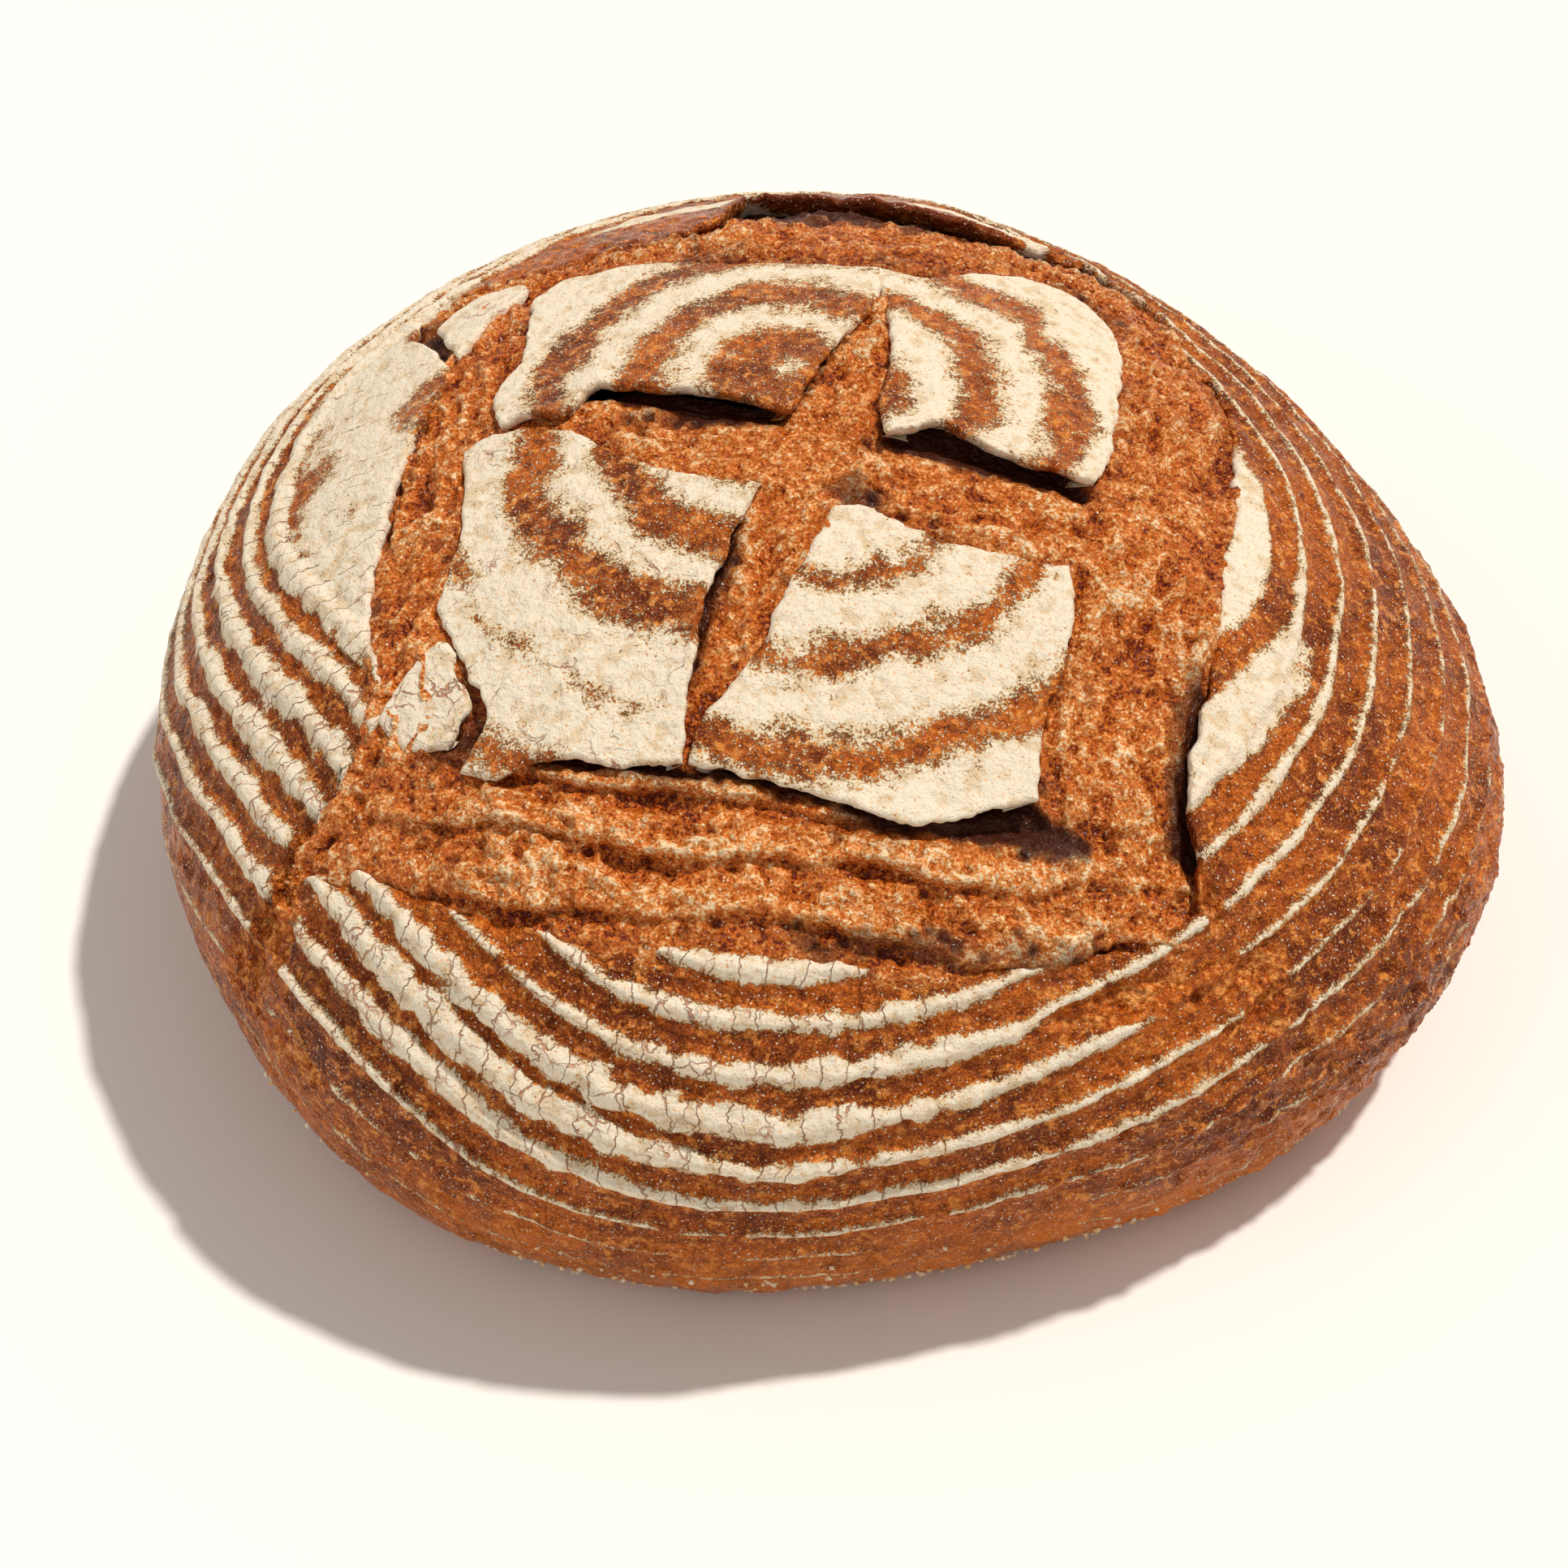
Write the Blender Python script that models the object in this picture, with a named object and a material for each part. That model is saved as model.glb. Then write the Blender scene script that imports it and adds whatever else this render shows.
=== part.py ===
"""A round sourdough loaf, proved in a cane basket and slashed before baking.

The loaf is one solid: a flattened dome with a softly lobed outline, a rolled heel and a flat base.
Ring ridges from the basket run round its sides. Four long slashes form an open square on its top,
with a cross of two more inside it, and each has torn open into a valley with a bulging floor.
"""
import math

import bmesh
import bpy
import numpy as np

MM = 0.001  # every size below is in millimetres

# The loaf
RADIUS = 125.0
HEIGHT = 112.5
BELLY_HEIGHT = 39.5
BASE_RADIUS = 107.5
SHOULDER = 1.90  # 2 is an ellipse, less is more pointed
CROWN = 1.85
# Swells of the outline: how many go round, how high each stands, the direction of one crest
LOBES = ((2, 2.1, -54.0), (3, 4.2, -19.0), (4, 1.8, -24.0))

# The ridges that the basket left, counted by their distance down the side from the top
RING_PITCH = 8.3
RING_HEIGHT = 0.8
RING_HALF_WIDTH = 0.3  # as a share of the pitch
FIRST_RING = 113.0
RING_COUNT = 8
RINGS_FADE = 25.0
# Away from the slashes the rings lie nearer the top by the slip. Each opened slash has pushed them
# back out: the direction it faces, half the angle that it reaches, and how far it pushes
RING_SLIP = 25.0
RING_PUSHES = ((-93.0, 44.0, 25.0), (172.0, 34.0, 14.0), (96.0, 52.0, 12.0))

# The mesh
DIRECTIONS = 84
CAP_ROWS = 9
HEEL_ROWS = 5
PROFILE_STEPS = 400

# The slashes: points of the middle line and the half width there, seen from above
SLASHES = {
    "front": ((-88, -76, 1.5), (-62, -78, 7), (-34, -85, 12), (-6, -89, 12), (22, -91, 10), (58, -86, 4)),
    "right": ((62, 47, 2), (65, 28, 6), (66, 4, 10), (60, -24, 12), (55, -44, 12), (50, -66, 12), (50, -88, 8)),
    "back": ((-72, 50, 1.5), (-46, 52, 4), (-24, 53, 6), (4, 60, 16), (34, 59, 11), (56, 54, 8), (68, 42, 3)),
    "left": ((-56, 50, 2), (-58, 33, 6), (-61, 12, 7), (-67, -10, 7.5), (-68, -32, 7), (-69, -50, 3)),
    "across": ((-54, 0, 1), (-39, 1, 4), (-20, -10, 8), (6, -18, 8), (24, -23, 10), (50, -28, 9)),
    "up": ((13.5, 34, 0.8), (10, 17, 4), (6, 2, 6.5), (1, -18, 8), (-8, -40, 6.5), (-14, -56, 4.5), (-20, -73, 0.8)),
}
# How deep each slash is along its walls and at its middle, where the crumb has risen
SLASH_DEPTHS = {"front": (5.5, 2.0), "right": (5.0, 1.5), "back": (5.5, 2.5), "left": (4.5, 3.0),
                "across": (5.0, 3.6), "up": (5.0, 4.0)}
EAR_OVERHANG = 1.6
CUTTER_RISE = 14.0  # how far a cutter stands above the crust
CUTTER_STEPS = 22
CUTTER_COLUMNS = 6
SHALLOW_END = 0.35  # the depth at a slash's ends as a share of its depth elsewhere
NARROWEST_ROOF = 0.15  # the least width of a cutter's top as a share of the slash's width

CRUST_COLOUR = (0.46, 0.15, 0.045, 1.0)
CRUST_ROUGHNESS = 0.6


def clear_scene():
    """Remove every object of the open scene."""
    for thing in list(bpy.data.objects):
        bpy.data.objects.remove(thing, do_unlink=True)


def smooth_step(value):
    """Ease from 0 to 1 as the value goes from 0 to 1, and hold the ends."""
    value = np.clip(value, 0.0, 1.0)
    return value * value * (3.0 - 2.0 * value)


def outline(angle):
    """Return the plan radius in a direction as a share of the loaf's radius."""
    swell = sum(height * np.cos(count * (angle - math.radians(crest))) for count, height, crest in LOBES)
    return 1.0 + swell / RADIUS


def meridian():
    """Return distance down the side, radius and height along the side of an unlobed loaf, from top to base.

    Above the belly it is a superellipse quarter, below it an ellipse quarter that ends level at the base.
    """
    turn = np.linspace(0.5 * math.pi, 0.0, PROFILE_STEPS)
    upper_radius = RADIUS * np.cos(turn) ** (2.0 / SHOULDER)
    upper_radius[0] = 0.0
    upper_height = BELLY_HEIGHT + (HEIGHT - BELLY_HEIGHT) * np.sin(turn) ** (2.0 / CROWN)
    roll = np.linspace(0.0, 0.5 * math.pi, PROFILE_STEPS)[1:]
    lower_radius = BASE_RADIUS + (RADIUS - BASE_RADIUS) * np.cos(roll)
    lower_height = BELLY_HEIGHT * (1.0 - np.sin(roll))
    radius = np.concatenate((upper_radius, lower_radius))
    height = np.concatenate((upper_height, lower_height))
    distance = np.concatenate(([0.0], np.cumsum(np.hypot(np.diff(radius), np.diff(height)))))
    return distance, radius, height


def dome_height(x, y):
    """Return the height of the unslashed dome above a point of the plan."""
    share = np.hypot(x, y) / (RADIUS * outline(np.arctan2(y, x)))
    turn = np.arccos(np.clip(share, 0.0, 1.0) ** (0.5 * SHOULDER))
    return BELLY_HEIGHT + (HEIGHT - BELLY_HEIGHT) * np.sin(turn) ** (2.0 / CROWN)


def ring_slip(angle):
    """Return the slip in a direction: the full slip less a raised-cosine bump for each push."""
    slip = RING_SLIP + 0.0 * angle
    for direction, reach, push in RING_PUSHES:
        away = np.mod(angle - math.radians(direction) + math.pi, 2.0 * math.pi) - math.pi
        share = np.clip(away / math.radians(reach), -1.0, 1.0)
        slip = slip - push * 0.5 * (1.0 + np.cos(math.pi * share))
    return slip


def row_distances(base_distance):
    """Return how far down the side each row of the mesh lies, with a row on each ridge and two in each groove."""
    cap = np.linspace(0.0, FIRST_RING, CAP_ROWS + 1)[1:-1]
    shares = np.array((-RING_HALF_WIDTH, 0.0, RING_HALF_WIDTH))
    rings = (FIRST_RING + RING_PITCH * (np.arange(RING_COUNT)[:, None] + shares)).ravel()
    heel = np.linspace(rings[-1], base_distance, HEEL_ROWS + 1)[1:]
    return np.concatenate((cap, rings, heel))


def loaf_mesh():
    """Build the unslashed loaf on rows and directions, closed by a point on top and a flat base below."""
    distance, radius, height = meridian()
    rows = row_distances(distance[-1])[:, None]
    angle = np.linspace(-math.pi, math.pi, DIRECTIONS, endpoint=False)[None, :]
    fade = smooth_step(rows / FIRST_RING) * smooth_step((distance[-1] - rows) / RINGS_FADE)
    place = rows - ring_slip(angle) * fade
    phase = np.mod((rows - FIRST_RING) / RING_PITCH + 0.5, 1.0) - 0.5
    within = (rows > FIRST_RING - 0.5 * RING_PITCH) & (rows < FIRST_RING + RING_PITCH * (RING_COUNT - 0.5))
    lift = RING_HEIGHT * within * (np.abs(phase) < 0.5 * RING_HALF_WIDTH)
    plan = (np.interp(place, distance, radius) + lift) * outline(angle)
    points = np.stack((plan * np.cos(angle), plan * np.sin(angle), np.interp(place, distance, height)), axis=-1)

    mesh = bmesh.new()
    top = mesh.verts.new((0.0, 0.0, HEIGHT * MM))
    rings = [[mesh.verts.new(point * MM) for point in row] for row in points]
    for i in range(DIRECTIONS):
        following = (i + 1) % DIRECTIONS
        mesh.faces.new((top, rings[0][i], rings[0][following]))
        for upper, lower in zip(rings, rings[1:]):
            mesh.faces.new((upper[i], lower[i], lower[following], upper[following]))
    mesh.faces.new(rings[-1][::-1])
    return mesh


def smooth_path(points, steps):
    """Carry a smooth curve through rows of values, as a Catmull-Rom spline, at even steps from end to end."""
    points = np.array(points, dtype=float)
    padded = np.vstack((2.0 * points[0] - points[1], points, 2.0 * points[-1] - points[-2]))
    place = np.linspace(0.0, len(points) - 1.0, steps)
    start = np.minimum(place.astype(int), len(points) - 2)
    share = (place - start)[:, None]
    before, first, second, after = (padded[start + i] for i in range(4))
    bend = 2.0 * before - 5.0 * first + 4.0 * second - after
    twist = 3.0 * (first - second) + after - before
    return first + 0.5 * share * ((second - before) + share * (bend + share * twist))


def slash_cutter(name):
    """Build the body that one slash takes away, as a channel that follows the dome.

    Its floor lies deepest along the walls and rises at the middle, and its walls lean out below,
    so that the crust beside it is left as an overhanging ear.
    """
    path = smooth_path(SLASHES[name], CUTTER_STEPS)
    centre = path[:, :2]
    half_width = path[:, 2][:, None, None]
    along = np.gradient(centre, axis=0)
    along /= np.linalg.norm(along, axis=1, keepdims=True)
    side = np.stack((along[:, 1], -along[:, 0]), axis=-1)[:, None, :]
    across = np.linspace(-1.0, 1.0, CUTTER_COLUMNS + 1)[None, :, None]
    wall_depth, middle_depth = SLASH_DEPTHS[name]
    ends = np.sin(np.linspace(0.0, math.pi, CUTTER_STEPS)) ** 0.5
    taper = (SHALLOW_END + (1.0 - SHALLOW_END) * ends)[:, None, None]
    floor = centre[:, None, :] + side * across * (half_width + EAR_OVERHANG * taper)
    depth = taper[..., 0] * (middle_depth + (wall_depth - middle_depth) * across[..., 0] ** 2)
    # The wall passes through the crust's own surface at the half width and leans on inwards above it
    lean = EAR_OVERHANG * CUTTER_RISE / wall_depth
    roof = centre[:, None, :] + side * across * np.maximum(half_width - lean, NARROWEST_ROOF * half_width)
    floor_height = dome_height(floor[..., 0], floor[..., 1]) - depth
    roof_height = dome_height(roof[..., 0], roof[..., 1]) + CUTTER_RISE
    layers = (np.dstack((floor, floor_height)), np.dstack((roof, roof_height)))

    mesh = bmesh.new()
    low, high = ([[mesh.verts.new(point * MM) for point in row] for row in layer] for layer in layers)
    for i in range(CUTTER_STEPS - 1):
        for j in range(CUTTER_COLUMNS):
            mesh.faces.new((low[i][j], low[i][j + 1], low[i + 1][j + 1], low[i + 1][j]))
            mesh.faces.new((high[i][j], high[i + 1][j], high[i + 1][j + 1], high[i][j + 1]))
        mesh.faces.new((low[i][0], low[i + 1][0], high[i + 1][0], high[i][0]))
        mesh.faces.new((low[i + 1][-1], low[i][-1], high[i][-1], high[i + 1][-1]))
    for j in range(CUTTER_COLUMNS):
        mesh.faces.new((low[0][j + 1], low[0][j], high[0][j], high[0][j + 1]))
        mesh.faces.new((low[-1][j], low[-1][j + 1], high[-1][j + 1], high[-1][j]))
    bmesh.ops.recalc_face_normals(mesh, faces=mesh.faces)
    return mesh


def add_object(name, mesh):
    """Put a finished bmesh into the scene as a named object."""
    data = bpy.data.meshes.new(name)
    mesh.to_mesh(data)
    mesh.free()
    thing = bpy.data.objects.new(name, data)
    bpy.context.scene.collection.objects.link(thing)
    return thing


def crust_material():
    """Return the plain browned crust."""
    material = bpy.data.materials.new("browned crust")
    material.use_nodes = True
    surface = material.node_tree.nodes["Principled BSDF"]
    surface.inputs["Base Color"].default_value = CRUST_COLOUR
    surface.inputs["Roughness"].default_value = CRUST_ROUGHNESS
    surface.inputs["Metallic"].default_value = 0.0
    return material


def outline_centre():
    """Return the middle of the box round the lobed outline, in plan."""
    angle = np.linspace(-math.pi, math.pi, DIRECTIONS, endpoint=False)
    radius = RADIUS * outline(angle)
    x, y = radius * np.cos(angle), radius * np.sin(angle)
    return 0.5 * (x.min() + x.max()), 0.5 * (y.min() + y.max())


def build_loaf():
    """Build the loaf, cut its slashes and stand it on the origin by the middle of its outline."""
    loaf = add_object("loaf", loaf_mesh())
    loaf.data.materials.append(crust_material())
    loaf.data.shade_smooth()
    loaf.data.set_sharp_from_angle(angle=math.radians(35.0))
    centre_x, centre_y = outline_centre()
    loaf.location = (-centre_x * MM, -centre_y * MM, 0.0)
    for name in SLASHES:
        cutter = add_object("cut_" + name, slash_cutter(name))
        cutter.location = loaf.location
        cutter.display_type = "WIRE"
        cutter.hide_render = True
        cut = loaf.modifiers.new("cut " + name, "BOOLEAN")
        cut.operation = "DIFFERENCE"
        cut.solver = "EXACT"
        cut.object = cutter


clear_scene()
build_loaf()
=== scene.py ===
"""The looks of a round sourdough loaf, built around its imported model.

The loaf is made as its crust really forms. A skin of floured, ridged crust wraps the sides and the base. Four
plates of floured crust lie on top, where the slashes have parted them. The torn crumb has risen between them.
"""

import functools
import itertools
import math

import bpy
import numpy as np
from bpy.props import FloatProperty, PointerProperty, StringProperty
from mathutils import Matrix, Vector


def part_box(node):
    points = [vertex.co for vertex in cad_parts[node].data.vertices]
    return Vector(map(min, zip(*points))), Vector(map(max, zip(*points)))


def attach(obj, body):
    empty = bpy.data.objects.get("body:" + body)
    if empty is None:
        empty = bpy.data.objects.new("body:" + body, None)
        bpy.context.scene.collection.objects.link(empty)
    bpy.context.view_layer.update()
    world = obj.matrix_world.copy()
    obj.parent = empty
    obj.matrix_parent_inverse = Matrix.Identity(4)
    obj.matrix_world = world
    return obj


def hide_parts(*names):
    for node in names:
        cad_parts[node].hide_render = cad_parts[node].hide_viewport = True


bl_info = {
    "name": "Sourdough loaf",
    "version": (1, 0, 0),
    "blender": (4, 5, 0),
    "location": "View3D > Sidebar > Sourdough",
    "description": "Builds the crust, the torn crumb and the flour of a round sourdough loaf",
    "category": "Add Mesh",
}

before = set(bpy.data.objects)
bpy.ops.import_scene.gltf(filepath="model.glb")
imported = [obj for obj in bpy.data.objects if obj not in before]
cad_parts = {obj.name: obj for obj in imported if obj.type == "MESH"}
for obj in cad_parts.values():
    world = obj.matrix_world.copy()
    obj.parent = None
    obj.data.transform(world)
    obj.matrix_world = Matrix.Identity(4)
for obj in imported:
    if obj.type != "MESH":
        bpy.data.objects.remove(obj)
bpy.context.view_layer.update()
LOAF_LOW, LOAF_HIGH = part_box("loaf")
BODY = "root"
NODE = "loaf"

MM = 0.001
CAD_WIDTH = 250.5  # of the loaf along X as designed, in mm
SCALE = (LOAF_HIGH[0] - LOAF_LOW[0]) / (CAD_WIDTH * MM)

# Swells of the outline: how many go round, how high each stands in mm, the direction of one crest in degrees
PLAIN_RADIUS = 125.0  # of the outline that the swells are given for, in mm
LOBES = ((2, 2.1, -54.0), (3, 4.2, -19.0), (4, 1.8, -24.0))

# The rings left by the basket. Away from the slashes they lie nearer the top by the slip, and each opened
# slash pushes them back out: the direction it faces, how far round it reaches either way, and the push in mm
RING_SLIP = 25.5
RING_PUSHES = ((-91.0, 50.0, 80.0, 25.5), (172.0, 46.0, 46.0, 17.0), (95.0, 52.0, 52.0, 14.0))
SLIP_FADES = (140.0, 200.0)  # distances down the side between which the slip fades out

# Half widths in mm of the flour on each ring, from the highest ring down, in these directions
FLOUR_DIRECTIONS = (-170, -150, -137, -125, -112, -100, -90, -78, -64, -50, -38, -15, 15, 60, 100, 140)
FLOUR_WIDTHS = (
    (3.2, 3.2, 2.8, 0.0, 0.0, 1.6, 2.6, 1.6, 0.0, 2.0, 1.4, 0.8, 0.6, 0.6, 0.9, 2.2),
    (2.2, 2.3, 1.4, 0.0, 1.2, 1.6, 1.7, 1.7, 1.0, 0.9, 1.0, 0.7, 0.6, 0.5, 0.6, 1.6),
    (2.4, 2.8, 2.6, 0.6, 1.0, 1.7, 2.4, 2.2, 0.8, 0.9, 0.7, 0.6, 0.5, 0.4, 0.5, 1.4),
    (1.9, 2.3, 2.5, 2.6, 2.9, 2.8, 2.7, 1.9, 1.1, 0.7, 0.5, 0.4, 0.4, 0.4, 0.5, 1.3),
    (1.7, 1.8, 1.9, 3.0, 2.6, 1.9, 1.8, 1.2, 0.7, 0.5, 0.3, 0.4, 0.3, 0.3, 0.4, 1.0),
    (1.3, 1.5, 1.7, 1.9, 1.7, 1.5, 1.5, 1.2, 1.0, 0.6, 0.5, 0.5, 0.4, 0.4, 0.5, 0.8),
    (0.8, 0.9, 0.9, 0.6, 0.6, 0.4, 0.6, 0.5, 0.4, 0.3, 0.3, 0.3, 0.3, 0.3, 0.3, 0.5),
    (0.4, 0.4, 0.3, 0.3, 0.3, 0.2, 0.3, 0.3, 0.2, 0.3, 0.2, 0.2, 0.2, 0.2, 0.2, 0.3),
    (0.2, 0.2, 0.2, 0.2, 0.2, 0.2, 0.3, 0.2, 0.2, 0.2, 0.1, 0.2, 0.2, 0.2, 0.2, 0.2),
)

# Patches of flour on the side skin: direction and reach in degrees, distance down the side and reach in mm
FLOUR_PATCHES = (
    (157, 17, 90, 17), (-176, 16, 84, 13), (-160, 14, 85, 8), (-14, 19, 77.5, 4.5), (-38, 13, 92, 5.5),
    (-33, 9, 90, 4), (104, 16, 88, 4), (66, 14, 88, 3),
)
# Thin dust between the rings, and brown spots within the patches
DUST_PATCHES = ((-122, 20, 138, 13), (-158, 14, 120, 14), (-52, 12, 98, 4))
BROWN_SPOTS = ((-174, 5.0, 86, 4.0), (150, 4.0, 88, 6.0), (-8, 9.0, 84, 2.5))

# Places where the side has split open
SCARS = ((-63, 6, 127, 3.0), (-53, 5, 129, 3.5), (-51, 2.5, 136, 6), (-141, 2.6, 147, 8),
         (-138.5, 2.2, 136, 11), (-140, 1.5, 122, 8), (-53, 1.2, 112, 10), (-134, 4, 152, 4))
BEAD_LENGTH = 5.0  # between the cracks across a floured ring, in mm

# The inner edge of the side skin: direction in degrees and distance from the middle in mm
SKIN_EDGE = (
    (-180, 71), (-167, 76), (-160, 80), (-153, 84), (-145, 87.5), (-142, 90), (-140, 104), (-139, 115),
    (-136, 110), (-133, 108), (-127, 107), (-119, 105.5), (-109, 103), (-97, 100), (-86, 101), (-79, 103),
    (-72, 104), (-66, 105.5), (-60, 107.5), (-54, 107.5), (-52, 102), (-50, 95), (-46, 90), (-42, 87),
    (-38, 84.5), (-30, 79), (-20, 75.5), (-5, 75), (8, 77), (19, 80), (24, 76), (30, 80), (35, 84.5),
    (41, 86.5), (52, 88), (60, 79), (68, 76), (77, 76), (87, 79), (94, 82), (98, 84), (103, 72), (109, 66.5),
    (116, 65.5),
    (122, 70.5), (130, 74), (136, 79), (141, 84), (147, 88), (151, 84), (155, 75), (159, 70.5), (164, 67.5),
    (173, 69),
)
# How far that edge curls up, in mm, by direction
SKIN_CURL = ((-180, 0.1), (-150, 0.2), (-140, 0.6), (-130, 0.0), (-90, 0.0), (-62, 0.2), (-53, 1.7),
             (-48, 0.9), (-40, 0.2), (-20, 0.2), (25, 0.1), (50, 0.4), (70, 1.9), (95, 1.9), (104, 0.5),
             (130, 0.2), (160, 0.1))

# How much the flour on the sides has cracked, from 0 to 1, by direction
SIDE_CRACKLE = ((-180, 0.55), (-160, 0.65), (-140, 0.72), (-90, 0.65), (-70, 0.35), (-40, 0.1),
                (30, 0.0), (100, 0.1), (150, 0.4))

# The slashes, as points of the middle line seen from above: x, y, half width, and how deep the crumb lies
# under the crust at the left wall, in the middle and at the right wall, as one walks along the line
SLASHES = (
    ((-90, -77, 2, 0.5, 0.3, 0.0), (-76, -72, 7, 0.8, 0.4, 0.3), (-62, -76, 9, 1.5, 0.2, 0.0),
     (-34, -85, 12, 2.6, 0.2, 0.6), (-6, -89, 12, 2.8, 0.1, 0.8), (22, -91, 11, 4.2, 0.2, 0.8),
     (42, -88, 9, 4.5, 0.6, 0.6), (60, -86, 6, 3.5, 0.4, 0.6)),
    ((62, 47, 3, 0.3, 0.3, 0.5), (66, 28, 7, 0.3, 0.2, 0.5), (66, 4, 10, 0.3, 0.1, 0.5),
     (60, -24, 12, 0.3, 0.2, 0.6), (55, -44, 12, 0.5, 0.3, 0.8), (50, -66, 12, 2.2, 0.4, 1.0),
     (50, -88, 9, 2.4, 0.4, 1.0)),
    ((-72, 50, 2, 0.3, 0.5, 0.5), (-46, 53, 5, 0.5, 0.8, 0.6), (-24, 55, 7, 1.2, 1.0, 0.6),
     (2, 62, 17, 2.6, 0.8, 0.5), (34, 60, 12, 2.8, 1.0, 0.5), (56, 54, 9, 1.2, 0.8, 0.5),
     (68, 42, 4, 0.4, 0.4, 0.4)),
    ((-56, 50, 3, 0.8, 0.5, 0.5), (-58, 33, 7, 1.0, 0.8, 0.8), (-61, 12, 8, 1.2, 1.0, 0.9),
     (-67, -10, 8, 1.2, 1.0, 1.0), (-68, -32, 8, 1.5, 1.2, 1.2), (-68, -50, 8, 1.0, 0.7, 0.9),
     (-71, -63, 7, 0.8, 0.5, 0.8), (-77, -71, 5, 0.8, 0.6, 0.8)),
    ((-56, 0, 1, 0.5, 0.5, 0.3), (-39, 1, 4, 2.4, 1.6, 0.5), (-20, -10, 8, 3.4, 1.4, 0.3),
     (6, -18, 8, 2.0, 0.8, 0.4), (24, -23, 10, 3.8, 1.2, 0.2), (50, -28, 9, 3.0, 0.6, 0.2)),
    ((13.5, 34, 1, 0.6, 0.6, 0.6), (10, 17, 4, 1.2, 1.4, 2.0), (6, 2, 6.5, 1.2, 1.4, 2.4),
     (1, -18, 8, 1.0, 1.0, 1.0), (-8, -40, 6.5, 1.2, 1.6, 2.6), (-14, -56, 4.5, 1.2, 1.6, 2.4),
     (-20, -73, 1, 0.8, 0.8, 0.8)),
)
SLASH_STEPS = 90  # points along each slash
TERRACE_DEPTHS = (3.0, 1.3, 1.2, 0.6, 0.9, 0.6)  # height of each slash's terraces, in mm
SLASH_DARKNESS = (0.0, 0.06, 0.25, 0.16, 0.0, 0.0)  # how much darker each slash is painted
# Dark spots, char and painted shadow under crust edges: middle and reach seen from above in mm, and how dark
CHAR_AND_SHADOW_SPOTS = ((34, -82, 14, 3.0, 0.75), (24, -98, 28, 3.2, 0.5), (10, -83, 12, 3.5, 0.5),
              (18, 72, 34, 7, 0.7), (-20, -4, 16, 3, 0.5), (62, -62, 5, 22, 0.45), (-60, -78, 10, 4, 0.3),
              (8, -24, 6, 5, 0.6))

# The plates of crust on top. Each has four edges seen from above, where back and front run towards +X and
# left and right towards the front, the middle that its flour rings are struck from, and the curl in mm of its
# back, right, front and left edge
PLATES = {
    "plate_back_left": (
        ((-51, 41), (-46, 47), (-40, 48.5), (-29, 48), (-14, 45.5), (2, 43.5), (14, 42)),
        ((14, 42), (13.5, 34), (10.5, 24), (7, 18), (3, 10), (0, 2), (-3, -6.5)),
        ((-54, 0), (-47, 0), (-42, -1), (-38, 5.5), (-33, 5.5), (-27, 3), (-14, -1.5), (-7, -5), (-3, -6.5)),
        ((-51, 41), (-51, 30), (-52, 18), (-56, 10), (-54, 0)), (-4, 6), (0.2, 0.6, 1.8, 0.2)),
    "plate_back_right": (
        ((12, 42), (22, 41), (29, 45), (36, 48), (44, 49), (50, 45)),
        ((50, 45), (56, 36), (57.5, 25), (56, 13), (54, 0), (52, -10), (48, -19)),
        ((13, -12), (17, -11), (21, -8.5), (25, -8.5), (30, -12), (36, -14.5), (42, -16.5), (48, -19)),
        ((12, 42), (14, 29), (14.5, 16), (14, 7), (12, -2), (13, -12)), (6, 5), (0.2, 0.4, 2.3, 0.4)),
    "plate_front_left": (
        ((-61, -3), (-57, -1), (-50, -1.5), (-41, -5), (-30, -14), (-21, -19), (-8, -23)),
        ((-8, -23), (-12, -31), (-14, -38), (-17, -45), (-18.5, -55), (-20, -64), (-20.5, -74)),
        ((-57, -70), (-51, -72.5), (-45, -71), (-40, -71.5), (-33, -73), (-26, -74), (-20.5, -74)),
        ((-61, -3), (-60, -12), (-60, -26), (-63, -38), (-60.5, -45), (-57, -53), (-53, -61), (-57, -70)),
        (-8, -10), (0.1, 1.0, 1.6, 0.3)),
    "plate_front_right": (
        ((4, -27), (10, -27.5), (17, -31), (24, -34), (33, -35), (38, -36), (43.5, -36)),
        ((43.5, -36), (44, -43), (43, -50), (41, -57), (38, -65), (36.5, -77)),
        ((-19.7, -74), (-12, -76), (-4, -78), (7, -80.5), (15, -82.5), (22, -81.5), (29, -79), (36.5, -77)),
        ((4, -27), (1.5, -33), (-3, -42), (-8, -54), (-13.5, -62), (-18.5, -68), (-19.7, -74)),
        (3, -16), (0.1, 0.4, 2.0, 0.1)),
}
# Flaps that tore away beside the left slash
FLAPS = {
    "flap_upper_left": (
        ((-65, 47), (-60, 50.5), (-53, 51)), ((-53, 51), (-52.5, 46), (-58, 38)),
        ((-64, 27), (-61, 32), (-58, 38)), ((-65, 47), (-69, 43), (-67, 35), (-64, 27)),
        (-4, 6), (0.2, 0.2, 0.2, 0.3)),
    "flap_lower_left": (
        ((-68, -51), (-63, -45), (-59, -48)), ((-59, -48), (-59, -53), (-56, -58), (-60, -65)),
        ((-72, -56), (-68, -63), (-60, -65)), ((-68, -51), (-70, -53), (-72, -56)),
        (-8, -10), (0.1, 0.2, 0.2, 0.0)),
}

# The edge of a crust from inside the loaf outwards: how far back from the edge and how far below, in mm
CRUST_EDGE = ((4.5, 4.2), (2.0, 3.0), (0.7, 2.3), (0.1, 1.5), (0.05, 0.8), (0.4, 0.25))


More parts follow.
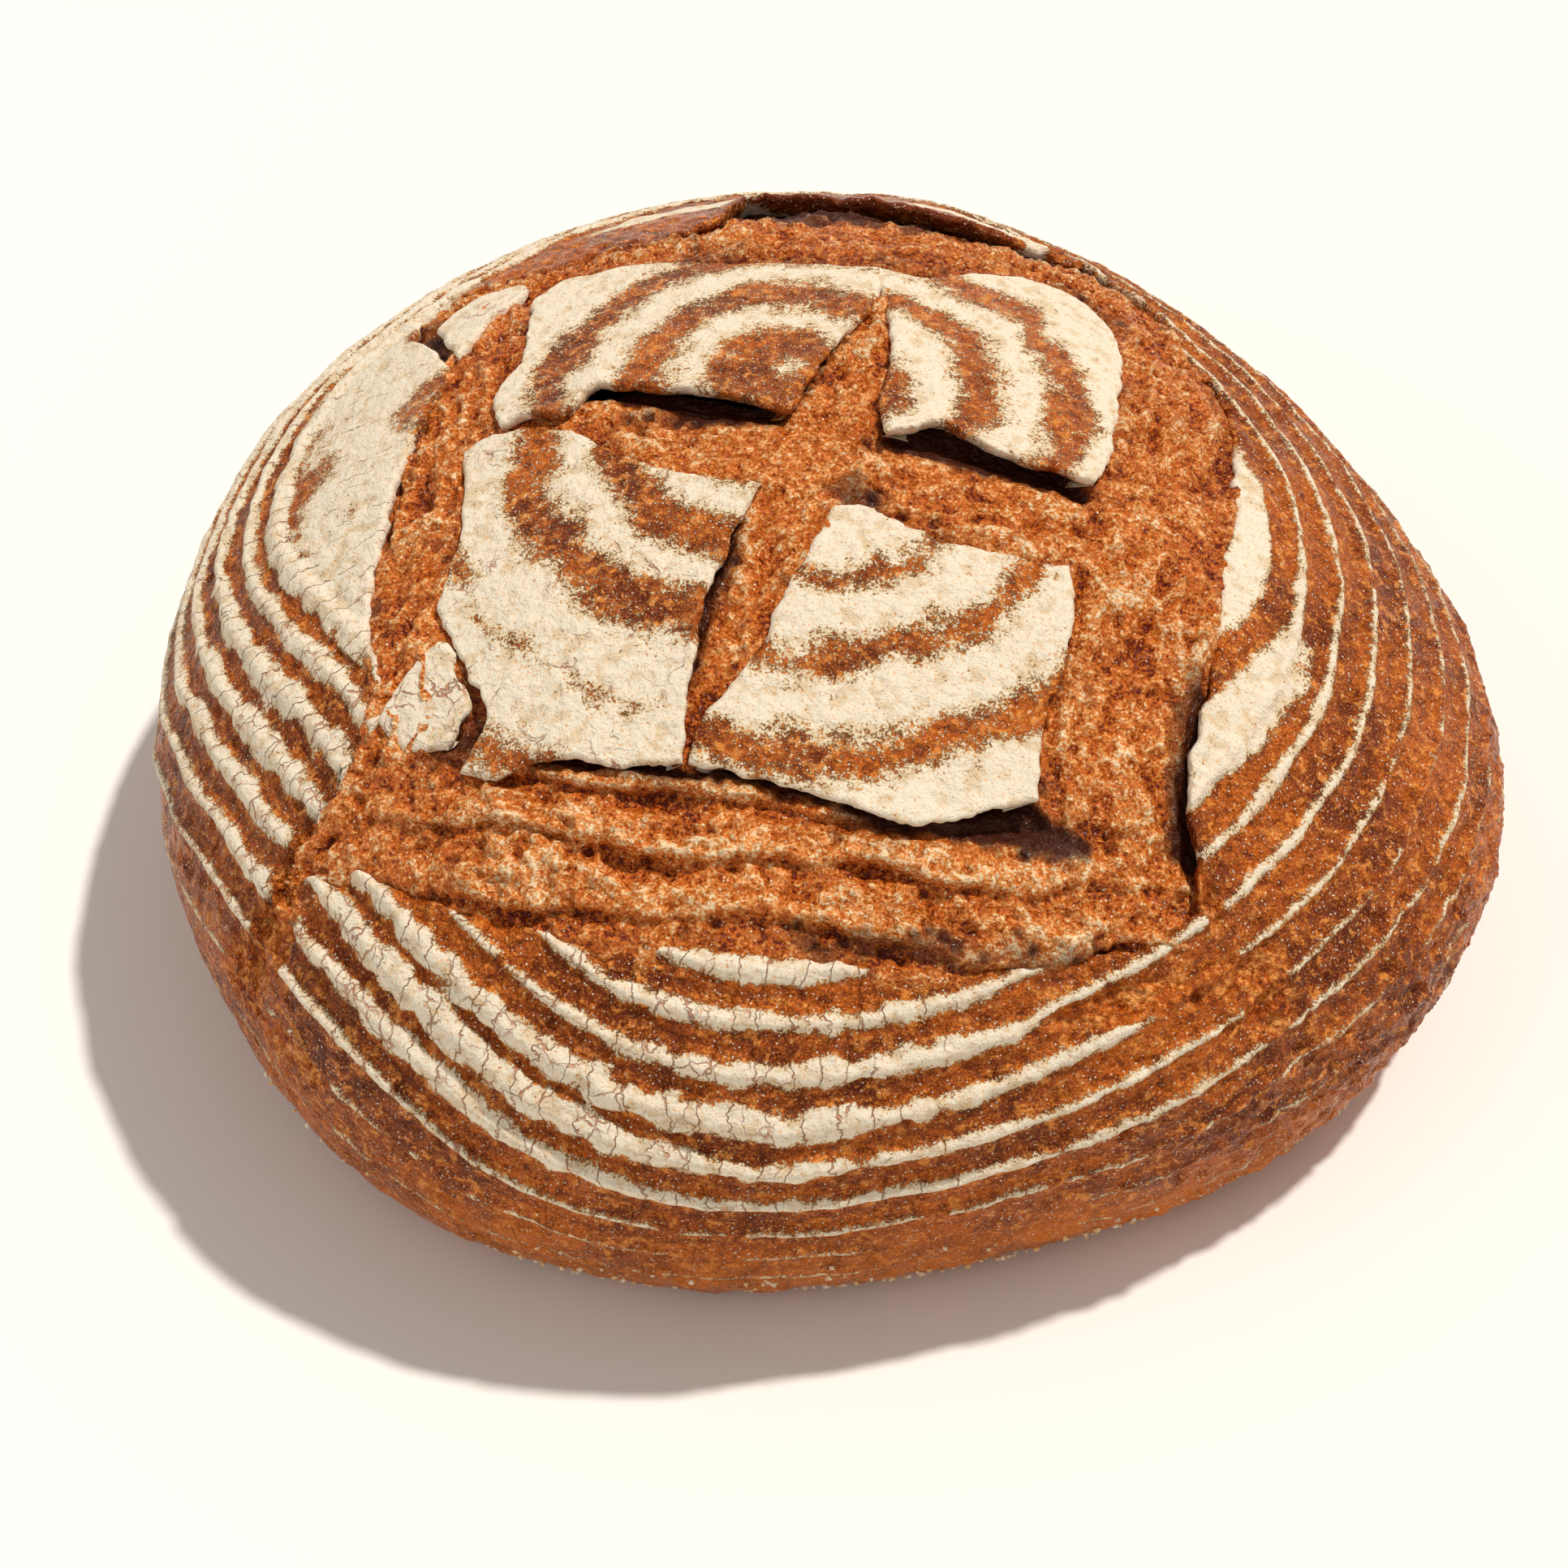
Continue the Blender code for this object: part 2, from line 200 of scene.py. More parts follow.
class LoafShape(bpy.types.PropertyGroup):
    """Sizes of the loaf."""
    radius: FloatProperty(name="Radius", description="Mean radius at the belly", default=0.1244 * SCALE,
                          unit="LENGTH")
    height: FloatProperty(name="Height", description="Height of the dome", default=0.1110 * SCALE,
                          unit="LENGTH")
    belly: FloatProperty(name="Belly height", description="Height of the widest part", default=0.0395 * SCALE,
                         unit="LENGTH")
    base_radius: FloatProperty(name="Base radius", description="Mean radius of the flat base",
                               default=0.1075 * SCALE, unit="LENGTH")
    shoulder: FloatProperty(name="Shoulder", description="Fullness of the side, where 2 is an ellipse",
                            default=1.9)
    crown: FloatProperty(name="Crown", description="Fullness of the top, where 2 is an ellipse", default=1.85)
    ring_pitch: FloatProperty(name="Ring pitch", description="Distance between the rings on the side",
                              default=0.00835 * SCALE, unit="LENGTH")
    first_ring: FloatProperty(name="First ring", description="Distance from the top to the first whole ring",
                              default=0.113 * SCALE, unit="LENGTH")
    ring_height: FloatProperty(name="Ring height", description="Height of a ring above its grooves",
                               default=0.0011 * SCALE, unit="LENGTH")
    top_ring: FloatProperty(name="Top ring", description="Radius of the innermost bare ring on top",
                            default=0.0095 * SCALE, unit="LENGTH")
    top_pitch: FloatProperty(name="Top pitch", description="Distance between the bare rings on top",
                             default=0.0156 * SCALE, unit="LENGTH")


class LoafColours(bpy.types.PropertyGroup):
    """Colours of the crust, as sRGB hex values."""
    flour: StringProperty(name="Flour", description="Dry flour on the crust", default="#eadcc4")
    flour_shade: StringProperty(name="Flour shade", description="Thin or toasted flour", default="#d2b488")
    crust: StringProperty(name="Crust", description="Browned crust", default="#bb5a14")
    # The dark crust also stands for painted shade, in the side's grooves and by curled edges
    crust_dark: StringProperty(name="Dark crust", description="Browned crust where it is darkest",
                               default="#68260a")
    crust_light: StringProperty(name="Light crust", description="Sandy grains of the browned crust",
                                default="#ee9440")
    tear: StringProperty(name="Torn crumb", description="Baked tear", default="#c96010")
    # The dark tear is partly painted shade, in the tear's hollows and by the walls of the slashes
    tear_dark: StringProperty(name="Dark tear", description="Tear in hollows and by the walls",
                              default="#6e1e03")
    # The light tear is partly painted highlight on the tear's high places
    tear_light: StringProperty(name="Light tear", description="Thin films that stand up in the tear",
                               default="#f5a254")
    # The heel colour is the smooth heel crust, painted lighter as bounce light from the floor
    heel: StringProperty(name="Heel", description="Smooth crust under the belly", default="#d67008")
    # The palest tear colour is the dry films and painted highlights on the tear's high places and glints
    film_and_painted_highlight: StringProperty(name="Film", description="Dry films and sugar on the tear", default="#ffe2b4")
    # The darkest tear colour is char and painted shade under the crusts' edges and in the tear's pits
    char: StringProperty(name="Char", description="Tear and crust baked darkest", default="#3f1404")
    semolina: StringProperty(name="Semolina", description="Grains under the heel", default="#e6bd7b")


def shape():
    """Return the sizes of the open scene, in mm."""
    return bpy.context.scene.loaf_shape


def size(name):
    """Return one size of the loaf in mm."""
    return getattr(shape(), name) / MM


# ---------------------------------------------------------------- noise

SLOPES = np.array([v for v in itertools.product((-1, 0, 1), repeat=3) if sum(map(abs, v)) == 2], dtype=float)


def scramble(corners, seed):
    """Mix whole-number corners into one unpredictable whole number each."""
    mixed = corners[..., 0] * 374761393 + corners[..., 1] * 668265263 + corners[..., 2] * 1911520717
    mixed = (mixed + seed * 974634777) & 0xFFFFFFFF
    mixed = ((mixed ^ (mixed >> 15)) * 739982445) & 0xFFFFFFFF
    mixed = ((mixed ^ (mixed >> 12)) * 695872825) & 0xFFFFFFFF
    return mixed ^ (mixed >> 15)


def hills(points, width, seed):
    """Gradient noise from about -1 to 1: the slopes of eight cube corners, eased together by a quintic."""
    scaled = points / width
    corner = np.floor(scaled).astype(np.int64)
    part = scaled - corner
    ease = part ** 3 * (part * (6.0 * part - 15.0) + 10.0)
    total = np.zeros(points.shape[:-1])
    for offset in itertools.product((0, 1), repeat=3):
        offset = np.array(offset)
        slope = SLOPES[scramble(corner + offset, seed) % len(SLOPES)]
        weight = np.prod(np.where(offset == 1, ease, 1.0 - ease), axis=-1)
        total += weight * ((part - offset) * slope).sum(axis=-1)
    return 1.4 * total


def rough(points, width, seed, octaves=3, gain=0.5):
    """Sum hills of ever smaller width, each octave half as wide and lower by the gain."""
    return sum(gain ** i * hills(points, width / 2 ** i, seed + i) for i in range(octaves))


def creases(points, width, seed, octaves=3):
    """Sum 1 - |hills|, which stands up in sharp ridges, centred near 0."""
    return sum(0.5 ** i * (0.75 - np.abs(2.0 * hills(points, width / 2 ** i, seed + i)))
               for i in range(octaves))


def bubbles(points, width, seed):
    """Return the distance to the nearest of one scattered point in each cube, in cube widths."""
    scaled = points / width
    corner = np.floor(scaled).astype(np.int64)
    nearest = np.full(points.shape[:-1], 9.0)
    for offset in itertools.product((-1, 0, 1), repeat=3):
        cube = corner + np.array(offset)
        mixed = scramble(cube, seed)
        spot = np.stack((mixed % 1024, mixed // 1024 % 1024, mixed // 1048576 % 1024), axis=-1) / 1024.0
        nearest = np.minimum(nearest, np.linalg.norm(cube + spot - scaled, axis=-1))
    return nearest


def heap(points, rows):
    """Sum rows of noise: its kind, height, width in mm, seed and octaves."""
    return sum(height * kind(points, width, *more) for kind, height, width, *more in rows)


# ---------------------------------------------------------------- the form of the loaf, in mm

def step(low, high, value):
    """Ease from 0 at the low value to 1 at the high one."""
    share = np.clip((value - low) / (high - low), 0.0, 1.0)
    return share * share * (3.0 - 2.0 * share)


UPPER_STEPS, HEEL_STEPS, BASE_STEPS, OUTLINE_STEPS = 1200, 500, 200, 720
NEAR, NEAR_TURN = 0.5, 0.004  # how far off the neighbours lie that give a slope, in mm and in radians
SPLINE_STEPS = 40  # for each given point of a path


def outline(angle):
    """Return the plan radius in a direction as a share of the mean: 1 plus a cosine for each lobe."""
    swell = sum(height * np.cos(count * (angle - math.radians(crest))) for count, height, crest in LOBES)
    return 1.0 + swell / PLAIN_RADIUS


def outline_centre():
    """Return the middle of the box round the outline, which stands on the origin."""
    angle = np.linspace(-math.pi, math.pi, OUTLINE_STEPS, endpoint=False)
    x, y = size("radius") * outline(angle) * np.array((np.cos(angle), np.sin(angle)))
    return np.array((0.5 * (x.min() + x.max()), 0.5 * (y.min() + y.max()), 0.0))


def run_length(path):
    """Return the distance run along a path at each of its points."""
    return np.concatenate(([0.0], np.cumsum(np.linalg.norm(np.diff(path, axis=0), axis=1))))


def meridian():
    """Return distance down the side, plan radius and height, from the top round the heel to the base.

    A superellipse quarter stands on the belly, an ellipse quarter rolls under it, and the base is level.
    """
    radius, belly, base = size("radius"), size("belly"), size("base_radius")
    turn = np.linspace(0.5 * math.pi, 0.0, UPPER_STEPS)
    upper = radius * np.abs(np.cos(turn)) ** (2.0 / shape().shoulder)
    upper[0] = 0.0
    upper_height = belly + (size("height") - belly) * np.sin(turn) ** (2.0 / shape().crown)
    roll = np.linspace(0.0, 0.5 * math.pi, HEEL_STEPS)[1:]
    lower = base + (radius - base) * np.cos(roll)
    level = np.linspace(base, 0.0, BASE_STEPS)[1:]
    plan = np.concatenate((upper, lower, level))
    height = np.concatenate((upper_height, belly * (1.0 - np.sin(roll)), 0.0 * level))
    return run_length(np.stack((plan, height), axis=-1)), plan, height


def on_side(angle, distance):
    """Return points on the smooth loaf at a direction and a distance down its side."""
    along, plan, height = meridian()
    reach = np.interp(distance, along, plan) * outline(angle)
    level = np.interp(distance, along, height)
    return np.stack((reach * np.cos(angle), reach * np.sin(angle), level), axis=-1)


def side_normals(angle, distance):
    """Return outward normals of the smooth loaf, from points a little up, down and to either side."""
    down = on_side(angle, distance + NEAR) - on_side(angle, distance - NEAR)
    around = on_side(angle + NEAR_TURN, distance) - on_side(angle - NEAR_TURN, distance)
    normals = np.cross(down, around)
    return normals / np.linalg.norm(normals, axis=-1, keepdims=True)


def down_side(x, y):
    """Return the distance down the side of a point of the plan, on the upper dome."""
    along, plan, height = meridian()
    share = np.hypot(x, y) / outline(np.arctan2(y, x))
    return np.interp(share, plan[:UPPER_STEPS], along[:UPPER_STEPS])


def on_dome(x, y):
    """Return points on the smooth upper dome above a plan."""
    share = np.hypot(x, y) / (size("radius") * outline(np.arctan2(y, x)))
    turn = np.arccos(np.clip(share, 0.0, 1.0) ** (0.5 * shape().shoulder))
    height = size("belly") + (size("height") - size("belly")) * np.sin(turn) ** (2.0 / shape().crown)
    return np.stack((x, y, height), axis=-1)


def dome_normals(x, y):
    """Return outward normals of the dome, from the height half a millimetre to either side."""
    slope_x = (on_dome(x + NEAR, y) - on_dome(x - NEAR, y))[..., 2]
    slope_y = (on_dome(x, y + NEAR) - on_dome(x, y - NEAR))[..., 2]
    normals = np.stack((-slope_x, -slope_y, np.full_like(x, 2.0 * NEAR)), axis=-1)
    return normals / np.linalg.norm(normals, axis=-1, keepdims=True)


def grid_normals(points):
    """Return the normals of a grid of points, as the cross product of its two directions."""
    normals = np.cross(np.gradient(points, axis=0), np.gradient(points, axis=1))
    length = np.linalg.norm(normals, axis=-1, keepdims=True)
    return normals / np.maximum(length, 1e-9)


def smooth_path(points, steps):
    """Carry a Catmull-Rom spline through rows of values and return points at even shares of its length."""
    points = np.array(points, dtype=float)
    padded = np.vstack((2.0 * points[0] - points[1], points, 2.0 * points[-1] - points[-2]))
    place = np.linspace(0.0, len(points) - 1.0, SPLINE_STEPS * len(points))
    start = np.minimum(place.astype(int), len(points) - 2)
    share = (place - start)[:, None]
    before, first, second, after = (padded[start + i] for i in range(4))
    bend = 2.0 * before - 5.0 * first + 4.0 * second - after
    twist = 3.0 * (first - second) + after - before
    path = first + 0.5 * share * ((second - before) + share * (bend + share * twist))
    length = run_length(path[:, :2])
    even = np.linspace(0.0, length[-1], steps)
    return np.stack([np.interp(even, length, column) for column in path.T], axis=-1)


def round_table(table, degrees):
    """Read a table of direction and value at other directions, straight between the listed ones."""
    directions, values = zip(*table)
    return np.interp(degrees, directions, values, period=360.0)


def ring_slip(angle):
    """Return the slip in a direction: the full slip less a raised-cosine bump for each push."""
    slip = RING_SLIP + 0.0 * angle
    for direction, before, after, push in RING_PUSHES:
        away = np.mod(np.degrees(angle) - direction + 180.0, 360.0) - 180.0
        share = np.clip(np.where(away < 0.0, away / before, away / after), -1.0, 1.0)
        slip = slip - push * 0.5 * (1.0 + np.cos(math.pi * share))
    return slip


RING_WOBBLE = ((hills, 0.10, 38.0, 11), (hills, 0.06, 13.0, 12))


def ring_place(angle, distance, points):
    """Count the rings down the side: whole numbers lie on the ridges."""
    slip = ring_slip(angle) * (1.0 - step(*SLIP_FADES, distance))
    wobble = heap(points, RING_WOBBLE)
    return (distance + slip - size("first_ring")) / size("ring_pitch") + wobble


# ---------------------------------------------------------------- meshes

def grid_faces(rows, columns):
    """Return the quads of a grid whose rows run down and whose columns run anticlockwise."""
    corner = (np.arange(rows - 1)[:, None] * columns + np.arange(columns - 1)).ravel()
    return np.stack((corner, corner + columns, corner + columns + 1, corner + 1), axis=-1)


def add_mesh(name, points, faces, material, slot, normals=None, **fields):
    """Put points in mm and faces into a mesh object on the origin, with its fields as vertex attributes."""
    points = (points.reshape(-1, 3) - outline_centre()) * MM
    mesh = bpy.data.meshes.new(name)
    mesh.from_pydata(points, [], faces.tolist() if isinstance(faces, np.ndarray) else faces)
    for field, values in fields.items():
        layer = mesh.attributes.new(field, "FLOAT", "POINT")
        layer.data.foreach_set("value", np.ascontiguousarray(values, dtype=np.float32).ravel())
    mesh.materials.append(material)
    mesh.shade_smooth()
    if normals is not None:
        mesh.normals_split_custom_set_from_vertices(normals.reshape(-1, 3).tolist())
    piece = bpy.data.objects.new(name, mesh)
    bpy.context.scene.collection.objects.link(piece)
    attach(piece, BODY)
    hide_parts(NODE)
    return piece


# ---------------------------------------------------------------- materials

def linear(code, alpha=1.0):
    """Turn an sRGB hex value into a linear colour."""
    parts = [int(code[i:i + 2], 16) / 255.0 for i in (1, 3, 5)]
    return [p / 12.92 if p <= 0.04045 else ((p + 0.055) / 1.055) ** 2.4 for p in parts] + [alpha]


def colour(name):
    """Return one of the loaf's colours, linear."""
    return linear(getattr(bpy.context.scene.loaf_colours, name))


def per_metre(millimetres):
    """Return the texture scale that repeats at a size in mm."""
    return 1.0 / (millimetres * MM)


def add_node(tree, kind, inputs=(), output=0, **settings):
    """Add a node with its settings, fill or link its inputs in order or by name, and return one output."""
    node = tree.nodes.new("ShaderNode" + kind)
    for name, value in settings.items():
        setattr(node, name, value)
    named = inputs if isinstance(inputs, dict) else dict(enumerate(inputs))
    for name, value in named.items():
        if isinstance(value, bpy.types.NodeSocket):
            tree.links.new(value, node.inputs[name])
        else:
            node.inputs[name].default_value = value
    return node.outputs[output] if node.outputs else node


def new_material(name):
    """Return an empty material, a short way to add its nodes, and the place that its patterns follow."""
    made = bpy.data.materials.new(name)
    made.use_nodes = True
    made.node_tree.nodes.clear()
    add = functools.partial(add_node, made.node_tree)
    return made, add, add("TexCoord", output="Object")


def read_fields(add, where, names, grains):
    """Return sockets by name: the piece's own attributes, and noise of a width in mm for each grain."""
    fields = {name: add("Attribute", output="Fac", attribute_name=name) for name in names}
    for name, (width, octaves, gain, twist) in grains.items():
        fields[name] = add("TexNoise", {"Vector": where, "Scale": per_metre(width), "Detail": octaves,
                                        "Roughness": gain, "Distortion": twist})
    return fields


def weigh(add, fields, weights, total=0.0):
    """Sum fields, each times its weight, onto a total."""
    for name, weight in weights:
        total = add("Math", (fields[name], weight, total), operation="MULTIPLY_ADD")
    return total


def lay_colours(add, fields, base, layers):
    """Lay colours over a base. Each comes in from one value of a field to another, by a share at each."""
    for name, start, end, start_share, end_share, over in layers:
        share = add("MapRange", (fields[name], start, end, start_share, end_share), **EASE)
        base = add("Mix", {0: share, 6: base, 7: colour(over)}, 2, **RGBA)
    return base


EASE = {"interpolation_type": "SMOOTHSTEP"}
RGBA = {"data_type": "RGBA"}

# Noise in the crust: grain width in mm, octaves, gain and twist
CRUST_GRAINS = {
    "sand": (0.45, 2.0, 0.5, 0.0), "speck": (0.8, 1.0, 0.5, 0.0), "fine": (1.1, 3.0, 0.6, 0.0),
    "crooked": (1.6, 3.0, 0.5, 0.0), "blister": (2.1, 3.0, 0.6, 0.0), "medium": (3.2, 3.0, 0.5, 0.0),
    "parted": (5.0, 2.0, 0.5, 0.0), "dry": (6.0, 2.0, 0.5, 0.0), "broad": (16.0, 3.0, 0.5, 0.0),
}
# Colours laid over a base in turn: field, its value where the colour starts and ends, its share there, colour
# The heel layer is partly painted bounce light, the dark layer after it partly painted shade, and the
# flour-coloured glint specks partly painted highlights
CRUST_LAYERS = (
    ("broad", 0.35, 0.65, 0.0, 1.0, "crust"), ("medium", 0.42, 0.62, 0.0, 0.6, "crust"),
    ("blister", 0.54, 0.64, 0.0, 0.75, "crust_light"), ("blister", 0.46, 0.36, 0.0, 0.75, "crust_dark"),
    ("sand", 0.55, 0.66, 0.0, 0.55, "crust_dark"), ("sand", 0.46, 0.34, 0.0, 0.5, "crust_light"),
    ("heel", 0.0, 1.0, 0.0, 1.0, "heel"), ("toast", 0.0, 1.0, 0.0, 1.0, "crust_dark"),
    ("glint", 0.12, 0.20, 0.85, 0.0, "flour"),
)
WET_LAYERS = (("damp", 0.52, 0.82, 0.0, 1.0, "tear"), ("wet", 0.95, 1.20, 0.0, 1.0, "tear_light"))
DUST_LAYERS = (
    ("level", 0.50, 0.95, 0.0, 1.0, "flour"), ("medium", 0.50, 0.35, 0.0, 0.55, "flour_shade"),
    ("sand", 0.42, 0.30, 0.0, 0.5, "crust_light"), ("split", 0.0, 1.0, 0.0, 0.7, "crust"),
)
RAGGED, RAGGED_MIDDLE = (("sand", 0.6), ("fine", 0.5), ("medium", 0.25)), 0.675
GRIT, GRIT_MIDDLE = (("blister", 1.9), ("medium", 1.8), ("sand", 0.4)), 2.05
# Eased steps of the crust: the value where each starts and ends, and what it gives there
COVER, WORN, WORN_WHERE = (0.38, 0.60), (0.64, 0.72, 0.0, 0.8), (0.9, 0.6)
PLATE_CRACK, PLATES_CRACKED = (0.010, 0.045, 1.0, 0.0), (1.10, 1.35)
RING_CRACK, RINGS_CRACKED = (0.002, 0.034, 1.0, 0.0), (0.9, 1.1)
HEEL_SHARE, SCAR_SHARE = (0.4, 0.6, 0.6, 0.95), (0.40, 0.55, 0.35, 0.9)
RAGGEDNESS = 2.2  # how far noise moves the flour's edge
FLOUR_HEIGHT, FLOUR_EVENS, CRACK_HEIGHT = 0.25, -0.6, -0.45  # shares of the bump
CRACK_PLATE = 4.4  # across one plate of dry flour, in mm
CRACK_BEND = 2.0  # between the bends of a crack, in mm
BEAD_BEND = 0.5  # how far noise moves a crack across a ring, in beads
CRACK_SHIFT = 0.0028  # how far a crack wanders, in m
GLINT_PITCH = 1.05  # between the crust's flour specks, which are partly painted glints, in mm
HEEL_TOP = 42.0  # height in mm at which the lighter heel colour, smooth crust and painted bounce light, fades out
CRUST_BUMP = 1.0  # height of the grit's bump, in mm
CRUST_GLOSS, FLOUR_GLOSS = 0.22, 0.95  # roughness of bare crust and of flour
CRUST_SPECULAR, TEAR_SPECULAR = 0.2, 0.4
STARCH_IOR = 1.45


def floured_crust():
    """Baked crust, dusted with flour in the basket.

    Bare crust is a sandy, half-glossy brown with fine blisters and a few flour-coloured specks that are
    partly painted glints. Painted shade darkens it in the side's grooves and by curled edges, and painted
    bounce light makes it lighter low by the heel. Where flour clings it is dead matte and cream, thin at its
    edge, with specks worn through and dry cracks.
    """
    made, add, where = new_material("baked_crust_floured")
    fields = read_fields(add, where, ("flour", "toast", "crackle", "beads", "scar"), CRUST_GRAINS)
    medium, crackle = fields["medium"], fields["crackle"]

    # Flour ends in a ragged, speckled line where the field passes one half
    ragged = weigh(add, fields, RAGGED, -RAGGED_MIDDLE)
    level = add("Math", (ragged, RAGGEDNESS, fields["flour"]), operation="MULTIPLY_ADD")
    cover = add("MapRange", (level, *COVER), **EASE)
    worn = add("MapRange", (fields["speck"], *WORN), **EASE)
    worn = add("Math", (worn, add("MapRange", (level, *WORN_WHERE), **EASE)), operation="MULTIPLY")
    cover = add("Math", (cover, add("Math", (1.0, worn), operation="SUBTRACT")), operation="MULTIPLY")

    # Dry flour cracks into plates, and straight across the rings
    drift = add("TexNoise", {"Vector": where, "Scale": per_metre(CRACK_BEND), "Detail": 3.0}, "Color")
    drift = add("VectorMath", (drift, (-0.5, -0.5, -0.5)), operation="ADD")
    drift = add("VectorMath", {0: drift, "Scale": CRACK_SHIFT}, operation="SCALE")
    moved = add("VectorMath", (where, drift), operation="ADD")
    plates = add("TexVoronoi", {"Vector": moved, "Scale": per_metre(CRACK_PLATE)}, feature="DISTANCE_TO_EDGE")
    split = add("MapRange", (plates, *PLATE_CRACK), **EASE)
    dry = add("Math", (fields["dry"], crackle), operation="ADD")
    split = add("Math", (split, add("MapRange", (dry, *PLATES_CRACKED), **EASE)), operation="MULTIPLY")
    across = add("Math", (fields["crooked"], BEAD_BEND, fields["beads"]), operation="MULTIPLY_ADD")
    across = add("Math", (across, 0.5), operation="PINGPONG")
    across = add("MapRange", (across, *RING_CRACK), **EASE)
    parted = add("Math", (fields["parted"], crackle), operation="ADD")
    across = add("Math", (across, add("MapRange", (parted, *RINGS_CRACKED), **EASE)), operation="MULTIPLY")
    split = add("Math", (split, across), operation="MAXIMUM")

    # Painted bounce light: low on the side the crust turns, in patches, to the lighter heel colour
    height = add("SeparateXYZ", (where,), "Z")
    heel = add("MapRange", (height, HEEL_TOP * MM, 0.0), **EASE)
    smooth = add("MapRange", (fields["broad"], *HEEL_SHARE), **EASE)
    heel = add("Math", (heel, smooth), operation="MULTIPLY")
    # Flour-coloured specks on the bare crust, partly painted glints
    glint = add("TexVoronoi", {"Vector": where, "Scale": per_metre(GLINT_PITCH)}, "Distance")
    damp = weigh(add, fields, (("fine", 0.6),), medium)
    wet = weigh(add, fields, (("fine", 1.0),), medium)
    fields.update(level=level, split=split, heel=heel, glint=glint, damp=damp, wet=wet)
    crust = lay_colours(add, fields, colour("crust_dark"), CRUST_LAYERS)
    wet = lay_colours(add, fields, colour("tear_dark"), WET_LAYERS)
    scar = add("MapRange", (fields["fine"], *SCAR_SHARE), **EASE)
    scar = add("Math", (scar, fields["scar"]), operation="MULTIPLY")
    crust = add("Mix", {0: scar, 6: crust, 7: wet}, 2, **RGBA)
    dusty = lay_colours(add, fields, colour("flour_shade"), DUST_LAYERS)
    base = add("Mix", {0: cover, 6: crust, 7: dusty}, 2, **RGBA)

    # Flour lies over the grit and evens it out
    grit = weigh(add, fields, GRIT, -GRIT_MIDDLE)
    bare = add("Math", (cover, FLOUR_EVENS, 1.0), operation="MULTIPLY_ADD")
    height = add("Math", (cover, FLOUR_HEIGHT), operation="MULTIPLY")
    height = add("Math", (grit, bare, height), operation="MULTIPLY_ADD")
    height = add("Math", (split, CRACK_HEIGHT, height), operation="MULTIPLY_ADD")
    relief = add("Bump", {"Height": height, "Distance": CRUST_BUMP * MM, "Strength": 1.0})
    gloss = add("MapRange", (cover, 0.0, 1.0, CRUST_GLOSS, FLOUR_GLOSS), **EASE)
    surface = add("BsdfPrincipled", {"Base Color": base, "Roughness": gloss, "IOR": STARCH_IOR,
                                     "Specular IOR Level": CRUST_SPECULAR, "Normal": relief})
    add("OutputMaterial", {"Surface": surface})
    return made


# Noise in the torn crumb: grain width in mm, octaves, gain and twist
TEAR_GRAINS = {
    "sand": (0.55, 2.0, 0.5, 0.0), "fine": (1.3, 4.0, 0.6, 0.5), "clump": (3.0, 2.0, 0.5, 0.0),
    "medium": (3.4, 4.0, 0.55, 1.0), "broad": (14.0, 3.0, 0.5, 0.0),
}
# The higher a spot, the paler: dark hollows as painted shade, orange, then dry films and painted highlights
TEAR_TONE = (("fine", 0.38), ("medium", 0.27), ("sand", 0.35), ("rise", 0.16), ("broad", 0.15))
TEAR_MIDDLE = 0.155
# Low tone paints shade into the hollows, high tone paints highlights and films onto the high places, the
# glints are painted highlights, and the last layer paints shade and char
TEAR_LAYERS = (
    ("tone", 0.405, 0.48, 0.0, 1.0, "tear"), ("tone", 0.50, 0.57, 0.0, 0.8, "tear_light"),
    ("torn", 0.0, 1.0, 0.0, 0.6, "tear_light"), ("tone", 0.575, 0.64, 0.0, 0.9, "film_and_painted_highlight"),
    ("glint", 0.0, 1.0, 0.0, 0.9, "film_and_painted_highlight"), ("shade", 0.0, 1.0, 0.0, 1.0, "char"),
)
TEAR_HEIGHT = (("fine", 0.9), ("medium", 1.6), ("film_and_painted_highlight", 0.2), ("sand", 0.35))
TEAR_GLINT_PITCH = 1.2  # between painted glints on the tear, white specks that stand in for its gloss, in mm
TEAR_BUMP = 1.0  # height of the wrinkles' bump, in mm
TEAR_GLOSS = 0.16  # roughness
# Eased steps of the tear: the value where each starts and ends, and what it gives there
FILM, TORN, TEAR_GLINT, CLUMP = (0.0, 0.03, 1.0, 0.0), (0.48, 0.60), (0.13, 0.22, 1.0, 0.0), (0.42, 0.58)


